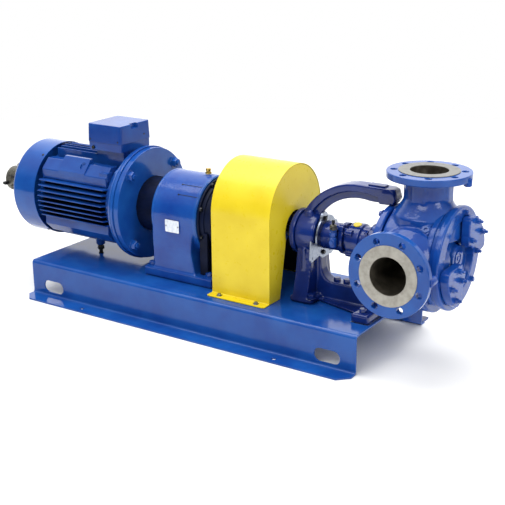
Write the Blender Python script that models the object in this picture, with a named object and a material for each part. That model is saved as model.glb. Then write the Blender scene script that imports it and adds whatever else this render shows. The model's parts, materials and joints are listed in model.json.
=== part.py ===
"""Gear pump unit: a flanged internal gear pump driven by a geared electric motor on a bent sheet base.

Metres, +Z up. The drive line runs along X. Lengths along X are measured from the pump's port centre line,
and the empty that carries every piece puts the origin at the bottom centre of the whole unit.
"""
import math

import bmesh
import bpy
from mathutils import Matrix, Vector

# The base, a hat section bent from sheet and standing on its two out-turned flanges
BASE_REAR = -1.237
BASE_FRONT = -0.091
BASE_HALF_WIDTH = 0.202
BASE_FLANGE = 0.053
BASE_HEIGHT = 0.110
SHEET = 0.005
BEND_RADIUS = 0.011
SLOT_LENGTH = 0.079
SLOT_HEIGHT = 0.038
SLOT_FROM_END = 0.086
SLOT_MIDDLE_Z = 0.034
ANCHOR_HOLE_RADIUS = 0.007
ANCHOR_FROM_END = 0.230
CORNER_CUT = 0.030

# The drive line
SHAFT_HEIGHT = 0.296
SHAFT_RADIUS = 0.020
RUNNING_GAP = 0.0006
GAP = 0.0003

# The electric motor
MOTOR_REAR = -1.250
MOTOR_FINS_FRONT = -0.990
MOTOR_FRONT = -0.9385
MOTOR_RADIUS = 0.147
MOTOR_CORE = 0.116
MOTOR_NECK_RADIUS = 0.129
MOTOR_BORE_RADIUS = 0.040
REAR_BEARING = 0.012
REAR_BEARING_RADIUS = 0.118
FIN_PITCH = 0.016
FIN_THICKNESS = 0.005
SIDE_FINS = 8
TOP_FINS = 6
PAD_HALF_ANGLE = 8
FLANGE_RADIUS = 0.174
FLANGE_THICKNESS = 0.0175
COWL_REAR = -1.376
COWL_FRONT = -1.262
COWL_RADIUS = 0.149
COWL_SHEET = 0.003
COWL_HOLLOW = 0.030
COWL_HOLLOW_RADIUS = 0.100
ENCODER_REAR = -1.503
ENCODER_RADIUS = 0.042
ENCODER_GROOVE = 0.006
ENCODER_GROOVE_FROM_REAR = 0.060
BOX_REAR = -1.095
BOX_FRONT = -0.963
BOX_HALF_WIDTH = 0.072
BOX_BOTTOM = 0.457
BOX_SPLIT = 0.481
BOX_TOP = 0.536
BOX_SEAT_HALF_WIDTH = 0.058
LID_OVERHANG = 0.0015
CABLE_ENTRY_Z = 0.469
JACK_BOLT_X = -1.098
JACK_BOLT_Y = -0.034
JACK_LUG_BOTTOM = 0.140
JACK_LUG_RADIUS = 0.014

# The gearbox
ADAPTER_FRONT = -0.8203
GEARBOX_REAR = -0.820
GEARBOX_FRONT = -0.660
GEARBOX_RADIUS = 0.112
GEARBOX_HALF_WIDTH = 0.118
GEARBOX_FOOT_REAR = -0.850
GEARBOX_FOOT_FRONT = -0.605
GEARBOX_FOOT_HALF_WIDTH = 0.122
GEARBOX_FOOT_TOP = 0.140
GEARBOX_BOSS_X = -0.694
GEARBOX_BOSS_RADIUS = 0.014
GEARBOX_BOSS_RISE = 0.008
ADAPTER_NECK_RADIUS = 0.098
ADAPTER_LIP = 0.012

# The coupling and its guard
GUARD_REAR = -0.588
GUARD_FRONT = -0.395
GUARD_HALF_WIDTH = 0.139
GUARD_ARCH_Z = 0.344
GUARD_SHEET = 0.003
GUARD_FOOT = 0.030
HUB_RADIUS = 0.058
HUB_LENGTH = 0.052
SPIDER_HALF = 0.008
GEARBOX_SHAFT_RADIUS = 0.025
COUPLING_MIDDLE = -0.492

# The pump
BRACKET_REAR = -0.366
BRACKET_FRONT = -0.098
COVER_DISC_RADIUS = 0.064
HOUSING_STEP = -0.306
HOUSING_FRONT = -0.246
HOUSING_RADIUS = 0.060
NOSE_RADIUS = 0.038
PEDESTAL_FRONT = -0.313
WEB_HALF = 0.019
RAIL_TOP = 0.167
ARCH_MIDDLE = (-0.190, 0.268)
ARCH_OUTER_RADIUS = 0.190
ARCH_INNER_RADIUS = 0.1463
ARCH_HALF_WIDTH = 0.024
PLATE_REAR = -0.2995
PLATE_FRONT = -0.2945
PLATE_RADIUS = 0.056
GLAND_REAR = -0.2455
FITTING_X = -0.258
FITTING_Y = -0.052
FITTING_BOTTOM = 0.272
REAR_COVER_REAR = -0.130
CASING_REAR = -0.085
CASING_FRONT = 0.066
CASING_RADIUS = 0.118
CASING_FLANGE_RADIUS = 0.132
BELLY_MIDDLE = (0, -0.008, SHAFT_HEIGHT - 0.034)
BELLY_RADIUS = 0.116
COVER_RADIUS = 0.138
COVER_FRONT = 0.094
COVER_RECESS_RADIUS = 0.096
COVER_RECESS_FLOOR = 0.075
COVER_BOSS_RADIUS = 0.036
JACKET_FRONT = 0.119
STUD_FRONT = 0.136
PORT_FACE = 0.2225
NECK_RADIUS = 0.065
PORT_FLANGE_RADIUS = 0.110
PORT_FLANGE_THICKNESS = 0.020
RAISED_FACE_RADIUS = 0.079
RAISED_FACE = 0.002
PORT_BORE_RADIUS = 0.050
PORT_BOLT_CIRCLE = 0.090
PORT_BOLT_HOLE_RADIUS = 0.009
PORT_BOLTS = 8

# The origin lies halfway between the two ends of the unit
PORT_LINE_X = -(ENCODER_REAR + STUD_FRONT) / 2

LARGE_SEGMENTS = 36
SMALL_SEGMENTS = 16
SHARP_ANGLE = math.radians(35)
CUTTER_PHASE = 0.41

AXIS_X = Matrix.Rotation(math.radians(90), 4, "Y")
AXIS_Y = Matrix.Rotation(math.radians(-90), 4, "X")
AXIS_Z = Matrix.Identity(4)


def clear_scene():
    for thing in list(bpy.data.objects):
        bpy.data.objects.remove(thing, do_unlink=True)


def linear(hex_colour):
    """An sRGB hex colour as the linear values that a shader takes."""
    values = [int(hex_colour[i : i + 2], 16) / 255 for i in (1, 3, 5)]
    return [v / 12.92 if v <= 0.04045 else ((v + 0.055) / 1.055) ** 2.4 for v in values]


def finish_of(name, hex_colour, roughness, metallic=0.0):
    material = bpy.data.materials.new(name)
    material.use_nodes = True
    shader = material.node_tree.nodes["Principled BSDF"]
    shader.inputs["Base Color"].default_value = (*linear(hex_colour), 1.0)
    shader.inputs["Roughness"].default_value = roughness
    shader.inputs["Metallic"].default_value = metallic
    return material


def object_from(name, mesh_maker, carrier, helper=False):
    """Makes an object from a function that fills a bmesh. A helper is only there to be cut or joined."""
    bm = bmesh.new()
    mesh_maker(bm)
    bmesh.ops.remove_doubles(bm, verts=bm.verts, dist=1e-6)
    bmesh.ops.recalc_face_normals(bm, faces=bm.faces)
    mesh = bpy.data.meshes.new(name)
    bm.to_mesh(mesh)
    bm.free()
    mesh.shade_smooth()
    mesh.set_sharp_from_angle(angle=SHARP_ANGLE)
    thing = bpy.data.objects.new(name, mesh)
    bpy.context.collection.objects.link(thing)
    thing.parent = carrier
    if helper:
        thing.hide_render = True
        thing.display_type = "WIRE"
    return thing


def turned(profile, direction=AXIS_X, centre=(0, 0, SHAFT_HEIGHT), segments=LARGE_SEGMENTS, phase=0.0):
    """A closed profile of (along, radius) points turned about an axis through the centre.

    Phase turns the facets by a part of one step, so that a cutter's corners miss the corners of what it cuts.
    """

    def make(bm):
        points = [bm.verts.new((radius, 0, along)) for along, radius in profile]
        edges = [bm.edges.new((points[i], points[(i + 1) % len(points)])) for i in range(len(points))]
        bmesh.ops.spin(
            bm,
            geom=points + edges,
            cent=(0, 0, 0),
            axis=(0, 0, 1),
            angle=2 * math.pi,
            steps=segments,
            use_merge=True,
        )
        bmesh.ops.remove_doubles(bm, verts=bm.verts, dist=1e-6)
        on_axis = [edge for edge in bm.edges if all(math.hypot(v.co.x, v.co.y) < 1e-6 for v in edge.verts)]
        bmesh.ops.delete(bm, geom=on_axis, context="EDGES_FACES")
        facet_turn = Matrix.Rotation(phase * 2 * math.pi / segments, 4, "Z")
        bmesh.ops.transform(bm, matrix=Matrix.Translation(centre) @ direction @ facet_turn, verts=bm.verts)

    return make


def disc(rear, front, radius):
    """The profile of a plain round bar from one end to the other."""
    return [(rear, 0), (rear, radius), (front, radius), (front, 0)]


def ring(rear, front, inner, outer):
    """The profile of a tube or washer."""
    return [(rear, inner), (rear, outer), (front, outer), (front, inner)]


def prism(outline, low, high, direction="X"):
    """An outline drawn across an axis and extruded along it. X takes (y, z), Y takes (x, z), Z takes (x, y)."""
    place = {
        "X": lambda a, b, along: (along, a, b),
        "Y": lambda a, b, along: (a, along, b),
        "Z": lambda a, b, along: (a, b, along),
    }[direction]

    def make(bm):
        face = bm.faces.new([bm.verts.new(place(a, b, low)) for a, b in outline])
        grown = bmesh.ops.extrude_face_region(bm, geom=[face])
        moved = [part for part in grown["geom"] if isinstance(part, bmesh.types.BMVert)]
        bmesh.ops.translate(bm, verts=moved, vec=Vector(place(0, 0, high - low)))

    return make


def block(low, high):
    return prism([(low[1], low[2]), (high[1], low[2]), (high[1], high[2]), (low[1], high[2])], low[0], high[0])


def rounded(corners, steps=5):
    """A polygon whose corners, given as (a, b, radius), are rounded with arcs."""
    outline = []
    for i, (a, b, radius) in enumerate(corners):
        here = Vector((a, b))
        if radius == 0:
            outline.append((a, b))
            continue
        before = (Vector(corners[i - 1][:2]) - here).normalized()
        after = (Vector(corners[(i + 1) % len(corners)][:2]) - here).normalized()
        half = before.angle(after) / 2
        middle = here + (before + after).normalized() * radius / math.sin(half)
        start = here + before * radius / math.tan(half) - middle
        turn = start.angle_signed(here + after * radius / math.tan(half) - middle)
        for step in range(steps + 1):
            spoke = start.copy()
            spoke.rotate(Matrix.Rotation(-turn * step / steps, 2))
            outline.append(tuple(middle + spoke))
    return outline


def arc(centre, radius, start, end, steps):
    """Points on a circle in degrees, from start to end."""
    angles = [math.radians(start + (end - start) * i / steps) for i in range(steps + 1)]
    return [(centre[0] + radius * math.cos(a), centre[1] + radius * math.sin(a)) for a in angles]


def boolean(thing, operation, helpers):
    for helper in helpers:
        modifier = thing.modifiers.new(helper.name, "BOOLEAN")
        modifier.operation = operation
        modifier.solver = "EXACT"
        modifier.object = helper


def piece(name, shape, material, carrier, added=(), removed=()):
    """One named solid: a main shape, with other shapes joined to it and then cut from it."""
    thing = object_from(name, shape, carrier)
    for operation, shapes in (("UNION", added), ("DIFFERENCE", removed)):
        helpers = [object_from(f"{name} {operation} {i}", extra, carrier, True) for i, extra in enumerate(shapes)]
        boolean(thing, operation, helpers)
    thing.data.materials.append(material)
    return thing


def bar(start, end, radius, segments=SMALL_SEGMENTS):
    """A round bar between two points."""
    start = Vector(start)
    run = Vector(end) - start
    turn = Vector((0, 0, 1)).rotation_difference(run).to_matrix().to_4x4()
    return turned(disc(0, run.length, radius), turn, start, segments, CUTTER_PHASE)


def make_base(carrier, paint):
    inner = BASE_HALF_WIDTH - SHEET
    outer = BASE_HALF_WIDTH + BASE_FLANGE
    tight = BEND_RADIUS - SHEET
    section = [
        (-outer, 0, 0), (-inner, 0, BEND_RADIUS), (-inner, BASE_HEIGHT - SHEET, tight),
        (inner, BASE_HEIGHT - SHEET, tight), (inner, 0, BEND_RADIUS), (outer, 0, 0),
        (outer, SHEET, 0), (BASE_HALF_WIDTH, SHEET, tight), (BASE_HALF_WIDTH, BASE_HEIGHT, BEND_RADIUS),
        (-BASE_HALF_WIDTH, BASE_HEIGHT, BEND_RADIUS), (-BASE_HALF_WIDTH, SHEET, tight), (-outer, SHEET, 0),
    ]
    cuts = []
    half = SLOT_LENGTH / 2
    for middle in (BASE_REAR + SLOT_FROM_END, BASE_FRONT - SLOT_FROM_END):
        low = SLOT_MIDDLE_Z - SLOT_HEIGHT / 2
        high = SLOT_MIDDLE_Z + SLOT_HEIGHT / 2
        corner = SLOT_HEIGHT * 0.49
        slot = [(middle - half, low), (middle + half, low), (middle + half, high), (middle - half, high)]
        cuts.append(prism(rounded([(*p, corner) for p in slot]), -outer, outer, "Y"))
    anchor_y = BASE_HALF_WIDTH + BASE_FLANGE * 0.6
    for x in (BASE_REAR + ANCHOR_FROM_END, BASE_FRONT - ANCHOR_FROM_END):
        for y in (-anchor_y, anchor_y):
            cuts.append(bar((x, y, -SHEET), (x, y, 2 * SHEET), ANCHOR_HOLE_RADIUS, 12))
    for x, inward in ((BASE_REAR, 1), (BASE_FRONT, -1)):
        for side in (-1, 1):
            corner = [(x - inward * SHEET, side * (outer - CORNER_CUT)),
                      (x + inward * CORNER_CUT, side * (outer + SHEET)),
                      (x - inward * SHEET, side * (outer + SHEET))]
            cuts.append(prism(corner, -SHEET, 3 * SHEET, "Z"))
    piece("base_frame", prism(rounded(section), BASE_REAR, BASE_FRONT), paint, carrier, removed=cuts)


def comb(count, turn):
    """One side of the finned frame: parallel fins that end on the frame's outer circle."""
    span = (count - 1) / 2 * FIN_PITCH
    points = []
    for i in range(count):
        offset = i * FIN_PITCH - span
        low = offset - FIN_THICKNESS / 2
        high = offset + FIN_THICKNESS / 2
        tip = math.sqrt(MOTOR_RADIUS**2 - max(abs(low), abs(high)) ** 2)
        points += [(MOTOR_CORE, low), (tip, low), (tip, high), (MOTOR_CORE, high)]
    cos, sin = math.cos(turn), math.sin(turn)
    return [(u * cos - v * sin, u * sin + v * cos + SHAFT_HEIGHT) for u, v in points]


def motor_outline():
    """Four combs of fins with a flat pad at 45 degrees between each two."""
    outline = []
    for quarter in range(4):
        turn = quarter * math.pi / 2
        outline += comb(SIDE_FINS if quarter % 2 == 0 else TOP_FINS, turn)
        for angle in (45 - PAD_HALF_ANGLE, 45 + PAD_HALF_ANGLE):
            pad = turn + math.radians(angle)
            outline.append((MOTOR_RADIUS * math.cos(pad), MOTOR_RADIUS * math.sin(pad) + SHAFT_HEIGHT))
    return outline


def make_motor(carrier, paint, black, steel):
    overlap = 0.001
    core = turned(disc(MOTOR_FINS_FRONT - overlap, MOTOR_FRONT - GAP, MOTOR_NECK_RADIUS))
    bearing_rear = MOTOR_REAR - REAR_BEARING
    rear_bearing = turned(disc(bearing_rear, MOTOR_REAR + overlap, REAR_BEARING_RADIUS))
    inset = LID_OVERHANG + 0.010
    seat = block((BOX_REAR + inset, -BOX_SEAT_HALF_WIDTH, SHAFT_HEIGHT + 0.6 * MOTOR_CORE),
                 (BOX_FRONT - inset, BOX_SEAT_HALF_WIDTH, BOX_BOTTOM - GAP))
    lugs = []
    for side in (-1, 1):
        # A lug that rises from the flat pad, vertical outside and sloping down to it
        wedge = [(side * 0.072, 0.380), (side * 0.118, 0.380), (side * 0.118, 0.388), (side * 0.084, 0.428),
                 (side * 0.072, 0.428)]
        lugs.append(prism(wedge, -1.180, -1.075))
    lugs.append(bar((JACK_BOLT_X, JACK_BOLT_Y, JACK_LUG_BOTTOM),
                    (JACK_BOLT_X, JACK_BOLT_Y, SHAFT_HEIGHT - 0.9 * MOTOR_CORE), JACK_LUG_RADIUS))
    piece("motor_frame", prism(motor_outline(), MOTOR_REAR, MOTOR_FINS_FRONT), paint, carrier,
          added=[core, rear_bearing, seat, *lugs])
    flange = ring(MOTOR_FRONT, MOTOR_FRONT + FLANGE_THICKNESS, MOTOR_BORE_RADIUS, FLANGE_RADIUS)
    piece("motor_flange", turned(flange), paint, carrier)
    # The cowl's rear edge is rounded in three steps, and its front is a thin skirt round an open hollow
    hollow = MOTOR_REAR - COWL_HOLLOW
    skirt = COWL_RADIUS - COWL_SHEET
    cowl = [(COWL_REAR, 0), (COWL_REAR, 0.115), (COWL_REAR + 0.004, 0.123), (COWL_REAR + 0.020, 0.145),
            (COWL_REAR + 0.026, COWL_RADIUS), (COWL_FRONT, COWL_RADIUS), (COWL_FRONT, skirt), (hollow, skirt),
            (hollow, COWL_HOLLOW_RADIUS), (bearing_rear - GAP, COWL_HOLLOW_RADIUS), (bearing_rear - GAP, 0)]
    piece("fan_cowl", turned(cowl), paint, carrier)
    groove = ENCODER_REAR + ENCODER_GROOVE_FROM_REAR
    edge = 0.003
    encoder = [(ENCODER_REAR, 0), (ENCODER_REAR, ENCODER_RADIUS - edge), (ENCODER_REAR + edge, ENCODER_RADIUS),
               (groove, ENCODER_RADIUS), (groove, ENCODER_RADIUS - ENCODER_GROOVE),
               (groove + ENCODER_GROOVE, ENCODER_RADIUS - ENCODER_GROOVE),
               (groove + ENCODER_GROOVE, ENCODER_RADIUS),
               (COWL_REAR - GAP, ENCODER_RADIUS), (COWL_REAR - GAP, 0)]
    piece("rear_encoder", turned(encoder), steel, carrier)
    make_terminal_box(carrier, paint, black)
    low = BASE_HEIGHT + GAP
    head, shank, nut_low, nut_high = 0.003, 0.006, 0.014, 0.026
    screw = [(low, 0), (low, 0.008), (low + head, 0.008), (low + head, shank), (low + nut_low, shank),
             (low + nut_low, 0.011), (low + nut_high, 0.011), (low + nut_high, shank),
             (JACK_LUG_BOTTOM - GAP, shank), (JACK_LUG_BOTTOM - GAP, 0)]
    piece("motor_jack_bolt", turned(screw, AXIS_Z, (JACK_BOLT_X, JACK_BOLT_Y, 0), SMALL_SEGMENTS), black,
          carrier)


def make_terminal_box(carrier, paint, black):
    side = BOX_HALF_WIDTH - LID_OVERHANG
    piece("terminal_box",
          block((BOX_REAR + LID_OVERHANG, -side, BOX_BOTTOM),
                (BOX_FRONT - LID_OVERHANG, side, BOX_SPLIT - GAP)),
          paint, carrier)
    piece("terminal_box_lid",
          block((BOX_REAR, -BOX_HALF_WIDTH, BOX_SPLIT), (BOX_FRONT, BOX_HALF_WIDTH, BOX_TOP)), paint, carrier)
    outer, inner, collar, length = 0.0105, 0.008, 0.006, 0.009
    plug = [(0, 0), (0, outer), (collar, outer), (collar, inner), (length, inner), (length, 0)]
    for name, x in (("cable_entry_plug_rear", -1.055), ("cable_entry_plug_front", -1.003)):
        piece(name, turned(plug, AXIS_Y, (x, side + GAP, CABLE_ENTRY_Z), SMALL_SEGMENTS), black, carrier)


def make_gearbox(carrier, paint, dark, brass, plate):
    rear = MOTOR_FRONT + FLANGE_THICKNESS + GAP
    rim = FLANGE_RADIUS - 0.004
    lip = ADAPTER_FRONT - ADAPTER_LIP
    lip_radius = ADAPTER_NECK_RADIUS + 0.006
    adapter = [(rear, MOTOR_BORE_RADIUS), (rear, rim), (rear + FLANGE_THICKNESS, rim),
               (rear + FLANGE_THICKNESS, GEARBOX_RADIUS), (rear + 0.060, ADAPTER_NECK_RADIUS),
               (lip, ADAPTER_NECK_RADIUS),
               (lip, lip_radius), (ADAPTER_FRONT, lip_radius), (ADAPTER_FRONT, MOTOR_BORE_RADIUS)]
    piece("gearbox_adapter", turned(adapter), dark, carrier)
    low = GEARBOX_FOOT_TOP - 0.01
    waist = rounded([(GEARBOX_REAR + 0.004, low, 0), (GEARBOX_FRONT - 0.004, low, 0),
                     (GEARBOX_FRONT - 0.020, 0.205, 0.05),
                     (GEARBOX_FRONT - 0.002, 0.300, 0), (GEARBOX_REAR, 0.300, 0)])
    body = prism(waist, -GEARBOX_HALF_WIDTH, GEARBOX_HALF_WIDTH, "Y")
    drum = turned(disc(GEARBOX_REAR, GEARBOX_FRONT, GEARBOX_HALF_WIDTH))
    crown = SHAFT_HEIGHT + GEARBOX_RADIUS + GEARBOX_BOSS_RISE
    boss = bar((GEARBOX_BOSS_X, 0, SHAFT_HEIGHT + 0.5 * GEARBOX_RADIUS), (GEARBOX_BOSS_X, 0, crown),
               GEARBOX_BOSS_RADIUS)
    foot = block((GEARBOX_FOOT_REAR, -GEARBOX_FOOT_HALF_WIDTH, BASE_HEIGHT + GAP),
                 (GEARBOX_FOOT_FRONT, GEARBOX_FOOT_HALF_WIDTH, GEARBOX_FOOT_TOP))
    piece("gearbox_housing", drum, paint, carrier, added=[body, foot, boss])
    # The output cover: a rim against the housing, then a shallow cone that rounds over to the shaft
    way = GEARBOX_SHAFT_RADIUS + RUNNING_GAP
    rim_radius = GEARBOX_RADIUS + 0.001
    cover = [(GAP, way), (GAP, rim_radius), (0.008, rim_radius), (0.008, 0.104), (0.040, 0.100),
             (0.050, 0.085),
             (0.060, 0.060), (0.060, way)]
    piece("gearbox_output_cover", turned([(GEARBOX_FRONT + x, radius) for x, radius in cover]), dark, carrier)
    vent = [(0, 0), (0, 0.009), (0.005, 0.009), (0.005, 0.006), (0.008, 0.006), (0.008, 0.008), (0.015, 0.008),
            (0.015, 0)]
    piece("breather_plug", turned(vent, AXIS_Z, (GEARBOX_BOSS_X, 0, crown + GAP), SMALL_SEGMENTS), brass,
          carrier)
    face = -GEARBOX_HALF_WIDTH - GAP
    piece("gearbox_nameplate", block((-0.767, face - 0.0015, 0.259), (-0.717, face, 0.296)), plate, carrier)
    plug_radius, plug_length = 0.011, 0.007
    plug = turned(disc(0, plug_length, plug_radius), AXIS_Y, (-0.742, GEARBOX_HALF_WIDTH + GAP, 0.165), 6)
    piece("gearbox_oil_plug", plug, plate, carrier)


def make_guard(carrier, yellow):
    low = BASE_HEIGHT + GAP
    outer = GUARD_HALF_WIDTH
    inner = outer - GUARD_SHEET
    tip = outer + GUARD_FOOT
    section = [(-tip, low), (-inner, low)]
    section += arc((0, GUARD_ARCH_Z), inner, 180, 0, 24)
    section += [(inner, low), (tip, low), (tip, low + GUARD_SHEET), (outer, low + GUARD_SHEET)]
    section += arc((0, GUARD_ARCH_Z), outer, 0, 180, 24)
    section += [(-outer, low + GUARD_SHEET), (-tip, low + GUARD_SHEET)]
    piece("guard_shell", prism(section, GUARD_REAR, GUARD_FRONT), yellow, carrier)
    edge = inner - GAP
    bottom = low + 0.001
    thickness = 0.002
    # Each end plate: where it stands, the radius of its opening round the shaft, and the half width below
    for name, x, throat, foot in (
        ("guard_end_gearbox", GUARD_REAR, 0.112, 0.122),
        ("guard_end_pump", GUARD_FRONT - thickness, 0.055, 0.083),
    ):
        plate = [(-edge, bottom), *arc((0, GUARD_ARCH_Z), edge, 180, 0, 24), (edge, bottom), (foot, bottom)]
        plate += [*arc((0, SHAFT_HEIGHT), throat, -20, 200, 16), (-foot, bottom)]
        piece(name, prism(plate, x, x + thickness), yellow, carrier)


def make_drive_line(carrier, paint, rubber, steel):
    """The pieces that turn: each has its origin on the shaft's axis."""
    on_axis = (0, 0, 0)
    inside = 0.5 * HUB_LENGTH
    hub = SPIDER_HALF + GAP
    far = SPIDER_HALF + HUB_LENGTH
    at = COUPLING_MIDDLE
    shapes = (
        ("gearbox_output_shaft", disc(GEARBOX_FRONT + 0.006, at - inside, GEARBOX_SHAFT_RADIUS), steel),
        ("coupling_hub_gearbox", ring(at - far, at - hub, GEARBOX_SHAFT_RADIUS + GAP, HUB_RADIUS), paint),
        ("coupling_spider", disc(at - SPIDER_HALF, at + SPIDER_HALF, HUB_RADIUS - 0.003), rubber),
        ("coupling_hub_pump", ring(at + hub, at + far, SHAFT_RADIUS + GAP, HUB_RADIUS), paint),
        ("pump_shaft", disc(at + inside, REAR_COVER_REAR + 0.020, SHAFT_RADIUS), steel),
    )
    for name, profile, material in shapes:
        thing = piece(name, turned(profile, centre=on_axis), material, carrier)
        thing.location = (0, 0, SHAFT_HEIGHT)


def make_bracket(carrier, navy, zinc, paint):
    bore = SHAFT_RADIUS + RUNNING_GAP
    housing = turned([(BRACKET_REAR, 0), (BRACKET_REAR, HOUSING_RADIUS), (HOUSING_STEP, HOUSING_RADIUS),
                      (HOUSING_STEP, NOSE_RADIUS), (HOUSING_FRONT, NOSE_RADIUS), (HOUSING_FRONT, 0)])
    low = BASE_HEIGHT + GAP
    # The pedestal flares from under the barrel down to the foot, and its web turns into the rail to the pump
    shoulder = SHAFT_HEIGHT + 0.011
    pedestal_outline = [(-0.080, low + 0.005), (0.080, low + 0.005), (0.056, 0.200), (0.046, shoulder),
                        (-0.046, shoulder), (-0.056, 0.200)]
    pedestal = prism(pedestal_outline, BRACKET_REAR + 0.003, PEDESTAL_FRONT)
    web_outline = [(-0.330, low + 0.004), (-0.150, low + 0.004), (-0.150, RAIL_TOP)]
    web_outline += arc((-0.262, RAIL_TOP + 0.040), 0.040, -90, -180, 6) + [(-0.305, 0.262), (-0.330, 0.262)]
    web = prism(web_outline, -WEB_HALF, WEB_HALF, "Y")
    left_foot = block((-0.372, -0.078, low), (-0.296, 0.078, 0.128))
    ledge = prism([(-0.300, -0.036), (-0.149, -0.078), (-0.149, 0.078), (-0.300, 0.036)], low + 0.002, 0.118, "Z")
    right_foot = block((-0.152, -0.125, low), (BRACKET_FRONT, 0.125, 0.136))
    riser = block((-0.1505, -0.050, 0.130), (-0.1061, 0.050, 0.1775))
    # The arch springs from the barrel, is round above the seal, and ends on top of the rear cover
    arch_outline = arc(ARCH_MIDDLE, ARCH_OUTER_RADIUS, 157, 90, 14)
    arch_outline += [(-0.098, 0.458), (-0.086, 0.448), (-0.0815, 0.430), (-0.087, 0.4143)]
    arch_outline += arc(ARCH_MIDDLE, ARCH_INNER_RADIUS, 90, 148, 12)
    arch_outline += [(-0.320, 0.330), (-0.362, 0.325)]
    arch = prism(arch_outline, -ARCH_HALF_WIDTH, ARCH_HALF_WIDTH, "Y")
    shaft_way = turned(disc(BRACKET_REAR - 0.034, HOUSING_FRONT + 0.046, bore), segments=32)
    piece("bearing_bracket", housing, navy, carrier,
          added=[pedestal, web, left_foot, ledge, right_foot, riser, arch], removed=[shaft_way])
    cover_front = BRACKET_REAR - GAP
    disc_profile = [(-0.392, bore), (-0.392, 0.040), (-0.384, 0.058), (-0.380, COVER_DISC_RADIUS),
                    (cover_front, COVER_DISC_RADIUS), (cover_front, bore)]
    piece("bearing_cover", turned(disc_profile), navy, carrier)
    # The adjusting plate: a ring with three round lobes and a tongue towards the front left
    skin = 0.0001
    lobes = [turned(disc(PLATE_REAR + skin, PLATE_FRONT - skin, 0.016), centre=(0, y, SHAFT_HEIGHT + z),
                    segments=20)
             for y, z in ((-0.005, 0.052), (0.047, 0.018), (0.033, -0.042))]
    tongue = prism([(-0.020, SHAFT_HEIGHT - 0.058), (-0.060, SHAFT_HEIGHT - 0.010),
                    (-0.088, SHAFT_HEIGHT - 0.062),
                    (-0.076, SHAFT_HEIGHT - 0.074)], PLATE_REAR + skin, PLATE_FRONT - skin)
    piece("adjusting_plate", turned(disc(PLATE_REAR, PLATE_FRONT, PLATE_RADIUS)), zinc, carrier,
          added=[*lobes, tongue],
          removed=[turned(disc(PLATE_REAR - 0.02, PLATE_FRONT + 0.005, NOSE_RADIUS + 0.0005))])
    # The flush fitting: a body, a neck, a hexagon nut and a cap, joined to the barrel's nose by a short stub
    nut, neck, cap = 0.010, 0.007, 0.005
    stem = [(0, 0), (0, nut), (0.028, nut), (0.028, neck), (0.046, neck), (0.046, nut), (0.064, nut),
            (0.064, cap),
            (0.077, cap), (0.077, 0)]
    stub_z = FITTING_BOTTOM + 0.018
    stub = bar((FITTING_X, FITTING_Y, stub_z), (FITTING_X, -NOSE_RADIUS - 0.0005, stub_z), neck, 16)
    piece("flush_fitting", turned(stem, AXIS_Z, (FITTING_X, FITTING_Y, FITTING_BOTTOM), 16), paint, carrier,
          added=[stub])


def make_seal(carrier, navy, paint):
    bore = SHAFT_RADIUS + RUNNING_GAP
    sleeve = 0.034
    # The follower: a sleeve, then the flange that its bolts pull
    gland = [(GLAND_REAR, bore), (GLAND_REAR, sleeve), (-0.240, sleeve), (-0.240, 0.054), (-0.226, 0.054),
             (-0.226, bore)]
    piece("gland_follower", turned(gland), navy, carrier)
    # The housing: a nose, a collar, a neck and the flange on the rear cover
    front = REAR_COVER_REAR - GAP
    seal = [(-0.2257, bore), (-0.2257, 0.036), (-0.214, 0.036), (-0.214, 0.048), (-0.178, 0.048),
            (-0.176, 0.042),
            (-0.150, 0.042), (-0.150, 0.055), (front, 0.055), (front, bore)]
    piece("seal_housing", turned(seal), navy, carrier)
    step = REAR_COVER_REAR
    middle, last = step + 0.014, step + 0.024
    rear = [(step, bore), (step, 0.070), (middle, 0.074), (middle, 0.096), (last, 0.100),
            (last, CASING_RADIUS),
            (CASING_REAR - GAP, CASING_RADIUS), (CASING_REAR - GAP, bore)]
    piece("rear_cover", turned(rear), paint, carrier)


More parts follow.
